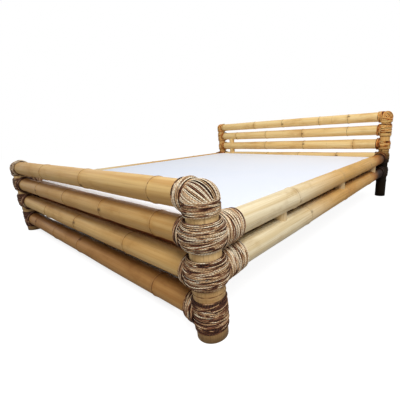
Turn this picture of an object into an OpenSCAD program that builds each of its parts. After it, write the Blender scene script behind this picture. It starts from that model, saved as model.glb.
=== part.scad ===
// Lashed bamboo bed with a low footboard, a higher headboard and a sunk mattress.
// The foot is towards -Y, the head towards +Y, and the floor is at z = 0.

/* [Mattress] */
// Width of the mattress
mattress_w = 1800; // [1400:10:2000]
// Length of the mattress
mattress_l = 2000; // [1900:10:2200]
// Thickness of the mattress at its edge
mattress_h = 120; // [80:5:150]
// How much thicker the mattress is in its middle
mattress_crown = 8; // [0:1:15]
// Gap between the mattress and each upper side rail
side_gap = 8.5; // [7.5:0.5:20]
// Gap between the mattress and the stop board at the foot
foot_gap = 15; // [5:1:40]
// Gap between the mattress and the stop board at the head
head_gap = 18; // [5:1:40]

/* [Culms] */
// Diameter of a foot post
foot_post_d = 104; // [96:1:112]
// Diameter of a head post
head_post_d = 82; // [80:1:90]
// Diameter of the top foot rail
top_foot_rail_d = 90; // [84:1:92]
// Diameter of the other foot rails
foot_rail_d = 92; // [84:1:94]
// Diameter of the top head rail
top_head_rail_d = 80; // [70:1:80]
// Diameter of the other head rails
head_rail_d = 88; // [78:1:90]
// Diameter of a side rail
side_rail_d = 95; // [88:1:98]
// Wall thickness of the cane
cane_wall = 9; // [6:0.5:12]
// Height of the ridge at a joint of the cane
ridge_h = 2; // [1:0.5:3]
// Length of the swelling at a joint of the cane
ridge_w = 14; // [10:1:20]
// Thickness of the diaphragm inside a joint
diaphragm_t = 6; // [4:1:8]
// Diameter of the hole pierced through each diaphragm when the cane is treated
pierce_d = 14; // [8:1:20]

/* [Heights] */
// Height of the top foot rail's axis
foot_rail_1_z = 465; // [460:1:500]
// Height of the second foot rail's axis
foot_rail_2_z = 346; // [342:1:350]
// Height of the third foot rail's axis
foot_rail_3_z = 220; // [216:1:224]
// Height of the lowest foot rail's axis
foot_rail_4_z = 86; // [80:1:90]
// Height of the top head rail's axis
head_rail_1_z = 686; // [680:1:720]
// Height of the second head rail's axis
head_rail_2_z = 578; // [574:1:582]
// Height of the third head rail's axis
head_rail_3_z = 460; // [456:1:464]
// Height of the fourth head rail's axis
head_rail_4_z = 343; // [340:1:346]
// Height of the lowest head rail's axis, behind the mattress
head_rail_5_z = 222; // [218:1:226]
// Height of the upper side rails' axes
upper_side_z = 339; // [336:1:344]
// Height of the lower side rails' axes
lower_side_z = 221; // [216:1:222]
// How far the side rails lie inboard of the post axes
side_inset = 10; // [6:1:12]
// How far a top rail runs on over its post
top_rail_over = 12; // [8:1:16]

/* [Cane joints] */
// Joints of the top foot rail, from the middle of the bed
foot_1_joints = [-333, 222, 765]; // [-860:1:860]
// Joints of the second foot rail
foot_2_joints = [-509, -49, 372, 753]; // [-860:1:860]
// Joints of the third foot rail
foot_3_joints = [-424, 31, 529]; // [-860:1:860]
// Joints of the lowest foot rail
foot_4_joints = [-737, -375, -13, 700]; // [-860:1:860]
// Joints of the top head rail
head_1_joints = [-415, -41, 374, 651]; // [-860:1:860]
// Joints of the second head rail
head_2_joints = [-695, -256, 192, 649]; // [-860:1:860]
// Joints of the third head rail
head_3_joints = [-268, 207, 709]; // [-860:1:860]
// Joints of the fourth head rail
head_4_joints = [-248, 150, 556]; // [-860:1:860]
// Joints of the lowest head rail
head_5_joints = [-480, 40, 500]; // [-860:1:860]
// Joints of the upper side rails, from the foot post's axis
upper_side_joints = [534, 1095, 1656]; // [200:1:1900]
// Joints of the lower side rails, from the foot post's axis
lower_side_joints = [660, 1195, 1730]; // [200:1:1900]
// Joints of the foot posts, above the floor
foot_post_joints = [166]; // [160:1:170]
// Joints of the head posts, above the floor
head_post_joints = [140, 396]; // [20:1:405]

/* [Spacers] */
// Diameter of a side spacer
side_spacer_d = 56; // [40:1:64]
// Place of the first side spacer, from the foot post's axis
side_spacer_first = 450; // [300:5:500]
// Distance from one side spacer to the next
side_spacer_pitch = 705; // [600:5:720]
// Number of spacers on each side
side_spacer_count = 3; // [2:1:3]
// Diameter of a spacer in the headboard
head_spacer_d = 60; // [40:1:66]
// Distance from the left head post's axis to the headboard's spacers
head_spacer_x = 170; // [150:5:260]

/* [Lashings] */
// Diameter of the strand
strand_d = 6.5; // [6:0.5:7]
// Distance from one turn of strand to the next
strand_pitch = 9; // [9:1:10]
// Turns of the collar on each side rail
side_collar_turns = 7; // [2:1:8]
// Turns of the collar on each foot rail and head rail
cross_collar_turns = 2; // [1:1:3]
// Clearance between a strand or a saddle and the culm that it hugs
fit = 0.3; // [0.2:0.05:0.4]

/* [Pegs and plugs] */
// Depth of the plug in a post top, below the rail that it carries
post_plug_h = 50; // [40:1:55]
// Diameter of a peg
peg_d = 18; // [14:1:22]
// Length of a peg
peg_l = 90; // [70:5:110]
// Length of a plug inside a rail end
plug_l = 80; // [60:5:100]
// Clearance round a peg in its bore
peg_fit = 0.2; // [0.1:0.05:0.3]

/* [Bed base] */
// Width of a ledger
ledger_w = 45; // [35:1:60]
// Height of a ledger
ledger_h = 60; // [45:1:70]
// Height of the slats' top face above the floor
deck_z = 246; // [236:1:250]
// Thickness of a slat
slat_t = 18; // [14:1:22]
// Width of a slat
slat_w = 80; // [60:5:100]
// Number of slats
slat_count = 14; // [10:1:16]
// Thickness of a stop board
board_t = 22; // [16:1:26]
// Height of a stop board
board_h = 74; // [60:1:90]
// Gap between a stop board and the rails in front of it
board_gap = 2.5; // [2.5:0.5:6]
// Width of the centre beam and its legs
beam_w = 45; // [40:1:60]
// Number of legs under the centre beam
leg_count = 3; // [2:1:4]
// Diameter of a coach screw's shank
screw_d = 8; // [6:1:10]
// Number of coach screws in each ledger
screw_count = 4; // [3:1:5]

/* [Hidden] */

bamboo = "#cfa968";
bamboo_pale = "#e0cda2";
rattan = "#a5805a";
softwood = "#c8a070";
board_wood = "#7a5230";
steel = "silver";
ticking = "#eef1f6";

round_fn = 96;
strand_fn = 16;
bend_fn = 48;
foot_post_r = foot_post_d / 2;
head_post_r = head_post_d / 2;
side_rail_r = side_rail_d / 2;
head_rail_r = head_rail_d / 2;
foot_rail_r = foot_rail_d / 2;
strand_r = strand_d / 2;
peg_r = peg_d / 2;

side_x = mattress_w / 2 + side_gap + side_rail_r;
post_x = side_x + side_inset;
bed_l = foot_rail_r + board_gap + board_t + foot_gap + mattress_l
    + head_gap + board_t + board_gap + head_rail_r;

// Each row of a winding: its place along the axis and its distance from the axis. The steps between
// rows follow right triangles with whole sides, so that each bend meets the next row squarely.
flat_step = [strand_pitch, 0];
easy_step = strand_pitch * [0.96, 0.28];
steep_step = strand_pitch * [0.8, 0.6];
nose = strand_pitch * [[0, 1], [0.28, 0.96], [0.6, 0.8], [0.8, 0.6], [0.96, 0.28]];
nose_reach = strand_pitch * 2.64;
nose_rise = strand_pitch * 3.64;
function flipped(s) = [s[0], -s[1]];
function rows_from(start, steps, i = 0) =
    i == len(steps) ? [start] : concat([start], rows_from(start + steps[i], steps, i + 1));
function flat_steps(n) = [for (i = [1 : n]) flat_step];
rise = [steep_step, easy_step, easy_step];
fall = [flipped(easy_step), flipped(easy_step), flipped(steep_step)];
function ball_steps(n) = concat(rise, flat_steps(n), fall);
function length_of(steps) = steps == [] ? 0 : [for (s = steps) s[0]] * [for (s = steps) 1];
function centred_rows(mid_z, rho, steps) = rows_from([mid_z - length_of(steps) / 2, rho], steps);

// A turn of a coil is a square half and a leaning half. The lean is that of a right triangle with
// whole sides, so that the halves meet squarely.
coil_lean = [3116, 237] / 3125;
coil_step = 1.25;
least_pitch = strand_d + 0.45;
function coil_r(rail_r) = coil_step * ceil(max((rail_r + strand_r + 0.05) / coil_lean[0],
    least_pitch / coil_lean[1] / 2) / coil_step);
function coil_pitch(rail_r) = 2 * coil_lean[1] * coil_r(rail_r);

// The widest bulge of a post's windings sets how far the bed reaches past its posts
bulge_rise = rise[0][1] + rise[1][1] + rise[2][1];
hug = fit + strand_r;
packing_t = 1.3;
ball_rho = foot_post_r + hug + packing_t;
ball_reach = ball_rho + bulge_rise + strand_r;
head_reach = max(head_post_r + hug, coil_r(head_rail_r)) + strand_r;
shift_y = (ball_reach - head_reach) / 2;
foot_y = shift_y - bed_l / 2;
head_y = shift_y + bed_l / 2;

// Post tops stay below the bends of the windings that cap them
cap_drop = strand_pitch / 2 + strand_r + fit;
foot_post_h = foot_rail_1_z - cap_drop;
head_post_h = head_rail_1_z - cap_drop;

foot_lap = foot_post_r * 0.52;
head_lap = head_post_r * 0.6;
wrap_t = fit + strand_d;
foot_side_start = foot_rail_r + ridge_h;
head_side_start = coil_r(head_rail_r) + strand_r + 2 * fit;
foot_collar_start = ball_reach + strand_r + fit;
cross_collar_l = coil_pitch(foot_rail_r) * cross_collar_turns;
side_collar_l = coil_pitch(side_rail_r) * side_collar_turns;
head_side_collar_start = coil_r(head_rail_r) + strand_d + 1;
head_collar_start = head_post_r + wrap_t;

foot_levels = [
    [foot_rail_1_z, top_foot_rail_d / 2, foot_1_joints],
    [foot_rail_2_z, foot_rail_r, foot_2_joints],
    [foot_rail_3_z, foot_rail_r, foot_3_joints],
    [foot_rail_4_z, foot_rail_r, foot_4_joints]
];
head_levels = [
    [head_rail_1_z, top_head_rail_d / 2, head_1_joints],
    [head_rail_2_z, head_rail_r, head_2_joints],
    [head_rail_3_z, head_rail_r, head_3_joints],
    [head_rail_4_z, head_rail_r, head_4_joints],
    [head_rail_5_z, head_rail_r, head_5_joints]
];
side_levels = [[upper_side_z, upper_side_joints], [lower_side_z, lower_side_joints]];

function kept(joints, low, high) = [for (j = joints) if (j > low && j < high) j];
function outer_ridge(r, j) = [
    [r, j - ridge_w / 2], [r + ridge_h, j - ridge_w / 6], [r + ridge_h * 0.4, j],
    [r + ridge_h, j + ridge_w / 6], [r, j + ridge_w / 2]
];
function diaphragm(r, j) = [
    [r, j + diaphragm_t / 2], [pierce_d / 2, j + diaphragm_t / 2],
    [pierce_d / 2, j - diaphragm_t / 2], [r, j - diaphragm_t / 2]
];

// A length of cane along +Z, with its joints at the given heights
module culm(r, from, to, joints) {
    inner = r - cane_wall;
    rotate_extrude($fn = round_fn)
        polygon(concat(
            [[r, from]],
            [for (j = joints) each outer_ridge(r, j)],
            [[r, to], [inner, to]],
            [for (i = [len(joints) - 1 : -1 : 0]) each diaphragm(inner, joints[i])],
            [[inner, from]]
        ));
}

module mirrored_x(left) {
    mirror([left ? 1 : 0, 0, 0])
        children();
}

// Frame of a corner: the post stands on the axis, the cross rail leaves along -X and the side
// rail along +Y
module at_foot_corner(left) {
    mirrored_x(left)
        translate([post_x, foot_y, 0])
            children();
}

module at_head_corner(left) {
    mirrored_x(left)
        translate([post_x, head_y, 0])
            mirror([0, 1, 0])
                children();
}

// Puts the +Z axis along the cross rail, outwards from the post, at the given height
module along_cross(z) {
    translate([0, 0, z])
        rotate([0, -90, 0])
            children();
}

module along_side(z) {
    translate([-side_inset, 0, z])
        rotate([-90, 0, 0])
            children();
}

module peg_bores(post_r, cross_z, side_z) {
    for (z = cross_z)
        along_cross(z)
            cylinder(r = peg_r + peg_fit, h = post_r + peg_l, $fn = round_fn);
    for (z = side_z)
        along_side(z)
            cylinder(r = peg_r + peg_fit, h = post_r + peg_l, $fn = round_fn);
}

// A post whose top is cut to a saddle for the top rail
module post(r, h, joints, levels) {
    difference() {
        culm(r, 0, h, kept(joints, ridge_w, h - ridge_w));
        peg_bores(r, [for (i = [1 : len(levels) - 1]) levels[i][0]], side_z);
        saddle(levels[0]);
    }
}

module saddle(top) {
    translate([0, 0, top[0]])
        rotate([0, 90, 0])
            cylinder(r = top[1] + fit, h = 4 * top[1], center = true, $fn = round_fn);
}

side_z = [upper_side_z, lower_side_z];

module foot_post(left) {
    color(bamboo)
        at_foot_corner(left)
            post(foot_post_r, foot_post_h, foot_post_joints, foot_levels);
}

module head_post(left) {
    color(bamboo)
        at_head_corner(left)
            post(head_post_r, head_post_h, head_post_joints, head_levels);
}

// A rail from post to post, with each end cut to a mouth that laps round its post
module cross_rail(level, y, post_r, lap) {
    z = level[0];
    r = level[1];
    reach = post_x - lap;
    color(bamboo)
        translate([0, y, z])
            difference() {
                rotate([0, 90, 0])
                    culm(r, -reach, reach, kept(level[2], side_limit - post_x, post_x - side_limit));
                for (side = [-1, 1])
                    translate([side * post_x, 0, -r - ridge_h])
                        cylinder(r = post_r + fit, h = 2 * (r + ridge_h), $fn = round_fn);
            }
}
side_limit = ball_reach + cross_collar_l + ridge_w;

// A rail that runs on over both posts, with a bore for the peg that stands in each
module top_rail(level, y) {
    reach = post_x + top_rail_over;
    color(bamboo)
        translate([0, y, level[0]])
            difference() {
                rotate([0, 90, 0])
                    culm(level[1], -reach, reach, kept(level[2], side_limit - post_x, post_x - side_limit));
                for (side = [-1, 1])
                    translate([side * post_x, 0, -level[1] - 1])
                        cylinder(r = peg_r + peg_fit, h = level[1], $fn = round_fn);
            }
}

module foot_rail(i) {
    if (i == 0)
        top_rail(foot_levels[0], foot_y);
    else
        cross_rail(foot_levels[i], foot_y, foot_post_r, foot_lap);
}

module head_rail(i) {
    if (i == 0)
        top_rail(head_levels[0], head_y);
    else
        cross_rail(head_levels[i], head_y, head_post_r, head_lap);
}

module side_rail(left, level) {
    collar_end = ball_reach + side_collar_l + strand_d + ridge_w;
    color(bamboo_pale)
        difference() {
            at_foot_corner(left)
                along_side(level[0])
                    culm(side_rail_r, foot_side_start, bed_l - head_side_start,
                        kept(level[1], collar_end, bed_l - collar_end));
            at_foot_corner(left)
                cylinder(r = foot_post_r + fit, h = foot_post_h, $fn = round_fn);
            if (level[0] == lower_side_z)
                screw_bores(left);
        }
}

// A short upright piece of cane whose two ends are cut to the rails above and below it
module saddle_spacer(d, low_z, low_r, high_z, high_r) {
    difference() {
        translate([0, 0, low_z])
            cylinder(d = d, h = high_z - low_z, $fn = round_fn);
        translate([0, 0, low_z - 1])
            cylinder(d = d - 2 * cane_wall, h = high_z - low_z + 2, $fn = round_fn);
        for (end = [[low_z, low_r], [high_z, high_r]])
            translate([0, 0, end[0]])
                rotate([90, 0, 0])
                    cylinder(r = end[1] + fit, h = 2 * d, center = true, $fn = round_fn);
    }
}

module side_spacers(left) {
    color(bamboo)
        at_foot_corner(left)
            for (i = [0 : side_spacer_count - 1])
                translate([-side_inset, side_spacer_first + i * side_spacer_pitch, 0])
                    saddle_spacer(side_spacer_d, lower_side_z, side_rail_r, upper_side_z, side_rail_r);
}

module head_spacers() {
    color(bamboo)
        translate([head_spacer_x - post_x, head_y, 0])
            rotate([0, 0, 90])
                for (i = [1, 2])
                    saddle_spacer(head_spacer_d, head_levels[i + 1][0], head_levels[i + 1][1],
                        head_levels[i][0], head_levels[i][1]);
}

module strand_arc(rho, span) {
    rotate_extrude(angle = span, $fn = bend_fn)
        translate([rho, 0])
            circle(r = strand_r, $fn = strand_fn);
}

// One strand that lies in rows round an axis and turns back at the end of each row
module winding(rows, span) {
    for (row = rows)
        translate([0, 0, row[0]])
            strand_arc(row[1], span);
    for (i = [0 : len(rows) - 2]) {
        step = rows[i + 1] - rows[i];
        mid = (rows[i + 1] + rows[i]) / 2;
        far = i % 2 == 0;
        rotate([0, 0, far ? span : 0])
            translate([mid[1], 0, mid[0]])
                rotate([0, atan2(step[1], step[0]), 0])
                    rotate([0, -90, 0])
                        rotate([far ? 0 : 180, 0, 0])
                            strand_arc(norm(step) / 2, 180);
    }
}

// One strand wound round a rail in whole turns
module coil(rail_r, turns) {
    r = coil_r(rail_r);
    pitch = coil_pitch(rail_r);
    for (i = [0 : turns - 1])
        translate([0, 0, i * pitch]) {
            strand_arc(coil_lean[0] * r, 180);
            translate([0, 0, pitch / 2])
                rotate([0, -atan2(coil_lean[1], coil_lean[0]), 0])
                    rotate([0, 0, 180])
                        strand_arc(r, 180);
        }
}

// Outline of the packing under a winding: each row moved inwards, square to the run of the rows
under = 1.03 * hug;
function run_at(rows, i) = rows[min(i + 1, len(rows) - 1)] - rows[max(i - 1, 0)];
function moved(rows, i, out) =
    let (run = run_at(rows, i))
    [rows[i][1] + out * run[0] / norm(run), rows[i][0] - out * run[1] / norm(run)];
function packed(rows, i) = moved(rows, i, -under);
function last_row(rows) = rows[len(rows) - 1][0];

// A ball round a post, cut to the post and to the rails. It lies under the rows of a winding, or
// reaches as far out as they do. Nothing fills the corner between the rails, below their axes.
module ball(rows, out, post_r, cross) {
    low = rows[0][0];
    high = last_row(rows);
    difference() {
        rotate_extrude($fn = round_fn)
            polygon(concat(
                [[post_r - 1, low]],
                [for (i = [0 : len(rows) - 1]) moved(rows, i, out)],
                [[post_r - 1, high]]
            ));
        translate([0, 0, low - strand_d])
            cylinder(r = post_r + fit, h = high - low + 2 * strand_d, $fn = round_fn);
        translate([-2 * ball_reach, 0, low - strand_d])
            cube([2 * ball_reach, 2 * ball_reach, cross[0] - low + strand_d]);
        along_cross(cross[0])
            cylinder(r = cross[1] + fit, h = 2 * ball_reach, $fn = round_fn);
        for (z = side_z)
            along_side(z)
                cylinder(r = side_rail_r + fit, h = 2 * ball_reach, $fn = round_fn);
    }
}

// A winding starts at this angle, so that its bends stay clear of the rails
corner_window = -130;
side_window = -90;
head_window = -105;

function gap_between(a, b, span) =
    min([for (i = [0 : 12]) for (j = [0 : 12])
        norm([a[1] * cos(i * span / 12) - b[1] * cos(j * span / 12),
            a[1] * sin(i * span / 12) - b[1] * sin(j * span / 12), a[0] - b[0]])]) - strand_d;
// Points of a coil: a square half turn, then a leaning one
function coil_point(rail_r, turn, a) =
    let (r = coil_r(rail_r), flat_r = coil_lean[0] * r, rise = coil_lean[1] * r)
    a <= 180
        ? [flat_r * cos(a), flat_r * sin(a), 2 * rise * turn]
        : [flat_r * cos(a), r * sin(a), 2 * rise * turn + rise * (1 + cos(a))];
function coil_gap(rail_r) =
    min([for (a = [0 : 30 : 330], b = [0 : 5 : 355])
        norm(coil_point(rail_r, 0, a) - coil_point(rail_r, 1, b))]) - strand_d;
function least_gap(rows, span) =
    min([for (i = [0 : len(rows) - 2], j = [1 : len(rows) - 1])
        if (j > i) gap_between(rows[i], rows[j], span)]);

foot_ball_2 = centred_rows(foot_rail_2_z + 8, ball_rho, ball_steps(5));
foot_ball_3 = centred_rows(foot_rail_3_z + 17, ball_rho, ball_steps(7));
foot_band_1 = rows_from([foot_rail_1_z - 52, foot_post_r + hug], flat_steps(4));
foot_band_4 = centred_rows(foot_rail_4_z + 9, foot_post_r + hug, flat_steps(12));
head_band_1 = rows_from([head_rail_1_z - 45, head_post_r + hug], flat_steps(3));
head_band_2 = centred_rows(head_rail_2_z - 5, head_post_r + hug, flat_steps(10));
head_band_3 = centred_rows(head_rail_3_z - 11, head_post_r + hug, flat_steps(7));
head_band_4 = centred_rows(head_rail_4_z - 4, head_post_r + hug, flat_steps(8));
head_band_5 = centred_rows(head_rail_5_z - 1, head_post_r + hug, flat_steps(8));
foot_cap = cap_rows(foot_levels[0][1], foot_post_r);
head_cap = cap_rows(head_levels[0][1], head_post_r);
echo(least_gap_of_windings = [for (w = [foot_ball_2, foot_ball_3, foot_band_1, foot_band_4,
    head_band_1, head_band_2, head_band_3, head_band_4, head_band_5]) least_gap(w, 180)]);
echo(least_gap_of_caps = [for (w = [foot_cap, head_cap]) least_gap(w, 180)]);
echo(least_gap_of_coils = [for (r = [side_rail_r, foot_rail_r, foot_levels[0][1],
    head_rail_r, head_levels[0][1]]) coil_gap(r)]);

// Rows of the cap over a post top, along the top rail from the outside of the bed inwards: a
// rounded nose beyond the rail's end, then rows on the rail as far as its collar
function cap_rows(rail_r, post_r) =
    let (over = top_rail_over - strand_r)
    rows_from([-over - nose_reach, rail_r + hug - nose_rise],
        concat(nose, flat_steps(floor((post_r - fit + over) / strand_pitch))));

module cap(level, rows, post_r, post_h) {
    top_run = [for (i = [0 : len(nose) - 1]) packed(rows, i)];
    along_cross(level[0])
        rotate([0, 0, -90])
            winding(rows, 180);
    difference() {
        along_cross(level[0])
            rotate_extrude($fn = round_fn)
                polygon(concat(
                    [[0, top_run[0][1]]],
                    top_run,
                    [[level[1], -top_rail_over - fit], [0, -top_rail_over - fit]]
                ));
        translate([-2 * post_r, -2 * post_r, 0])
            cube([4 * post_r, 4 * post_r, post_h + fit]);
    }
}

module cross_collar(level, from) {
    along_cross(level[0])
        translate([0, 0, from])
            coil(level[1], cross_collar_turns);
}

module side_collar(z, from) {
    along_side(z)
        translate([0, 0, from])
            coil(side_rail_r, side_collar_turns);
}

module foot_lashing(left, i) {
    balls = [[], foot_ball_2, foot_ball_3];
    bands = [foot_band_1, [], [], foot_band_4];
    color(rattan)
        at_foot_corner(left)
            if (i == 1 || i == 2) {
                if (i == 1)
                    rotate([0, 0, corner_window])
                        winding(balls[i], 180);
                ball(balls[i], i == 1 ? -under : strand_r, foot_post_r, foot_levels[i]);
                cross_collar(foot_levels[i], foot_collar_start);
                side_collar(side_z[i - 1], foot_collar_start);
            } else {
                rotate([0, 0, side_window])
                    winding(bands[i], 180);
                cross_collar(foot_levels[i], foot_post_r + wrap_t);
                if (i == 0)
                    cap(foot_levels[0], foot_cap, foot_post_r, foot_post_h);
            }
}

module head_lashing(left, i) {
    bands = [head_band_1, head_band_2, head_band_3, head_band_4, head_band_5];
    color(rattan)
        at_head_corner(left) {
            rotate([0, 0, head_window])
                winding(bands[i], 180);
            if (i == 0)
                cap(head_levels[0], head_cap, head_post_r, head_post_h);
            else
                cross_collar(head_levels[i], head_collar_start);
            if (i > 2)
                side_collar(side_z[i - 3], head_side_collar_start);
        }
}

// Plugs and pegs of one joint, along +Z from the post's axis
module plug(post_r, rail_r, from) {
    difference() {
        translate([0, 0, from])
            cylinder(r = rail_r - cane_wall - fit, h = plug_l, $fn = round_fn);
        cylinder(r = peg_r + peg_fit, h = post_r + peg_l, $fn = round_fn);
    }
}

module peg(post_r) {
    translate([0, 0, post_r - cane_wall - 4])
        cylinder(r = peg_r, h = peg_l, $fn = round_fn);
}

// The plug in a post top shares the post's saddle and holds a standing peg
module post_plug(top, post_r, post_h) {
    low = top[0] - top[1] - post_plug_h;
    difference() {
        translate([0, 0, low])
            cylinder(r = post_r - cane_wall - fit, h = post_h - low, $fn = round_fn);
        saddle(top);
        translate([0, 0, low - 1])
            cylinder(r = peg_r + peg_fit, h = post_h, $fn = round_fn);
    }
}

module post_peg(top) {
    low = top[0] - top[1] - post_plug_h;
    translate([0, 0, low])
        cylinder(r = peg_r, h = post_plug_h + cane_wall + 4, $fn = round_fn);
}

module post_plugs() {
    color(softwood)
        for (left = [true, false]) {
            at_foot_corner(left)
                post_plug(foot_levels[0], foot_post_r, foot_post_h);
            at_head_corner(left)
                post_plug(head_levels[0], head_post_r, head_post_h);
        }
}

module post_pegs() {
    color(softwood)
        for (left = [true, false]) {
            at_foot_corner(left)
                post_peg(foot_levels[0]);
            at_head_corner(left)
                post_peg(head_levels[0]);
        }
}

module foot_rail_plugs() {
    color(softwood)
        for (left = [true, false])
            at_foot_corner(left)
                for (i = [1 : len(foot_levels) - 1])
                    along_cross(foot_levels[i][0])
                        plug(foot_post_r, foot_levels[i][1], foot_post_r + 1);
}

module head_rail_plugs() {
    color(softwood)
        for (left = [true, false])
            at_head_corner(left)
                for (i = [1 : len(head_levels) - 1])
                    along_cross(head_levels[i][0])
                        plug(head_post_r, head_levels[i][1], head_post_r + 1);
}

module side_rail_plugs() {
    color(softwood)
        for (left = [true, false], z = side_z) {
            at_foot_corner(left)
                along_side(z)
                    plug(foot_post_r, side_rail_r, foot_post_r + 1);
            at_head_corner(left)
                along_side(z)
                    plug(head_post_r, side_rail_r, head_side_start);
        }
}

module foot_rail_pegs() {
    color(softwood)
        for (left = [true, false])
            at_foot_corner(left)
                for (i = [1 : len(foot_levels) - 1])
                    along_cross(foot_levels[i][0])
                        peg(foot_post_r);
}

module head_rail_pegs() {
    color(softwood)
        for (left = [true, false])
            at_head_corner(left)
                for (i = [1 : len(head_levels) - 1])
                    along_cross(head_levels[i][0])
                        peg(head_post_r);
}

module side_rail_pegs() {
    color(softwood)
        for (left = [true, false], z = side_z) {
            at_foot_corner(left)
                along_side(z)
                    peg(foot_post_r);
            at_head_corner(left)
                along_side(z)
                    peg(head_post_r);
        }
}

// The bed base hangs from the lower side rails
slat_z = deck_z - slat_t;
ledger_z = slat_z - ledger_h;
ledger_x = side_x - side_rail_r - fit;
board_foot = foot_y + foot_rail_r + board_gap;
board_head = head_y - head_rail_r - board_gap - board_t;
base_foot = foot_y + coil_r(foot_rail_r) + strand_r + 1;
base_head = head_y - coil_r(head_rail_r) - strand_r - 1;
base_l = base_head - base_foot;
slat_len = mattress_w - 6;
board_len = 2 * (post_x - foot_collar_start - cross_collar_l - strand_d);
relief_r = coil_r(side_rail_r) + strand_r + 1;
washer_t = 1.6;
screw_head_h = 5.5;
screw_grip = ledger_w + 25;
screw_z = ledger_z + ledger_h - 15;
screw_room = 260;
function spread(i, n, room) = i * room / (n - 1);

module at_screws(left) {
    mirrored_x(left)
        for (i = [0 : screw_count - 1])
            translate([ledger_x - ledger_w,
                base_foot + screw_room + spread(i, screw_count, base_l - 2 * screw_room), screw_z])
                rotate([0, 90, 0])
                    children();
}

module screw_bores(left) {
    at_screws(left)
        translate([0, 0, -1])
            cylinder(d = screw_d + 2 * peg_fit, h = screw_grip + 6, $fn = round_fn);
}

// A ledger, hollowed a little where it passes the collars and the joints of the lower side rail
module ledger(left) {
    relief_l = side_collar_l + 2 * strand_d;
    joint_relief = ridge_w + 4 * fit;
    color(softwood)
        difference() {
            mirrored_x(left)
                translate([ledger_x - ledger_w, base_foot, ledger_z])
                    cube([ledger_w, base_l, ledger_h]);
            screw_bores(left);
            at_foot_corner(left)
                along_side(lower_side_z)
                    cylinder(r = relief_r, h = foot_collar_start + relief_l, $fn = round_fn);
            at_head_corner(left)
                along_side(lower_side_z)
                    cylinder(r = relief_r, h = head_side_collar_start + relief_l, $fn = round_fn);
            for (j = lower_side_joints)
                at_foot_corner(left)
                    along_side(lower_side_z)
                        translate([0, 0, j - joint_relief / 2])
                            cylinder(r = side_rail_r + ridge_h + fit, h = joint_relief, $fn = round_fn);
        }
}

module ledger_screws() {
    color(steel)
        for (left = [true, false])
            at_screws(left) {
                translate([0, 0, -washer_t - screw_head_h])
                    cylinder(d = 1.9 * screw_d, h = screw_head_h, $fn = 6);
                translate([0, 0, -washer_t - screw_head_h / 2])
                    cylinder(d = screw_d, h = screw_grip + washer_t + screw_head_h / 2, $fn = round_fn);
            }
}

module ledger_washers() {
    color(steel)
        for (left = [true, false])
            at_screws(left)
                translate([0, 0, -washer_t])
                    difference() {
                        cylinder(d = 2.6 * screw_d, h = washer_t, $fn = round_fn);
                        translate([0, 0, -1])
                            cylinder(d = screw_d + 2 * peg_fit, h = washer_t + 2, $fn = round_fn);
                    }
}

module stop_board(y) {
    color(board_wood)
        translate([-board_len / 2, y, deck_z])
            cube([board_len, board_t, board_h]);
}

module centre_beam() {
    color(softwood)
        translate([-beam_w / 2, base_foot, ledger_z])
            cube([beam_w, base_l, ledger_h]);
}

module centre_legs() {
    color(softwood)
        for (i = [0 : leg_count - 1])
            translate([-beam_w / 2, base_foot + beam_w + spread(i, leg_count, base_l - 3 * beam_w), 0])
                cube([beam_w, beam_w, ledger_z]);
}

module slats() {
    color(softwood)
        for (i = [0 : slat_count - 1])
            translate([-slat_len / 2, base_foot + spread(i, slat_count, base_l - slat_w), slat_z])
                cube([slat_len, slat_w, slat_t]);
}

// Outline of the mattress in plan, drawn in by the given amount
corner_r = 60;
corner_steps = 6;
side_steps = 6;
function corner_points(cx, cy, r, from) =
    [for (i = [0 : corner_steps])
        let (a = from + i * 90 / corner_steps)
        [cx + r * cos(a), cy + r * sin(a)]];
function side_points(a, b) = [for (i = [1 : side_steps - 1]) a + (b - a) * i / side_steps];
function outline(inset) =
    let (
        w = mattress_w / 2 - corner_r,
        l = mattress_l / 2 - corner_r,
        r = max(corner_r - inset, 8),
        s = max(inset - corner_r + 8, 0),
        q = [corner_points(w - s, l - s, r, 0), corner_points(s - w, l - s, r, 90),
            corner_points(s - w, s - l, r, 180), corner_points(w - s, s - l, r, 270)]
    )
    [for (k = [0 : 3]) each concat(q[k], side_points(q[k][corner_steps], q[(k + 1) % 4][0]))];

// Rings of the mattress from the bottom to the top: how far each is drawn in, and its height
edge_round = 22;
waist = 4;
mattress_rings = concat(
    [[320, 0], [edge_round, 0], [edge_round * 0.3, edge_round * 0.3], [0, edge_round]],
    [[waist, mattress_h * 0.35], [waist * 1.2, mattress_h * 0.5], [waist, mattress_h * 0.65]],
    [[0, mattress_h - edge_round], [edge_round * 0.3, mattress_h - edge_round * 0.3]],
    [[edge_round, mattress_h]],
    [[120, mattress_h + mattress_crown * 0.6], [320, mattress_h + mattress_crown * 0.9]]
);

module mattress() {
    loops = [for (ring = mattress_rings) [for (p = outline(ring[0])) [p[0], p[1], ring[1]]]];
    n = len(loops[0]);
    m = len(loops);
    last = m * n;
    color(ticking)
        translate([0, board_foot + board_t + foot_gap + mattress_l / 2, deck_z])
            polyhedron(
                points = concat([for (loop = loops) each loop],
                    [[0, 0, 0], [0, 0, mattress_h + mattress_crown]]),
                faces = concat(
                    [for (k = [0 : m - 2], i = [0 : n - 1])
                        let (a = k * n + i, b = k * n + (i + 1) % n)
                        each [[a, a + n, b], [b, a + n, b + n]]],
                    [for (i = [0 : n - 1]) [last, i, (i + 1) % n]],
                    [for (i = [0 : n - 1]) [last + 1, (m - 1) * n + (i + 1) % n, (m - 1) * n + i]]
                )
            );
}

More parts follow.
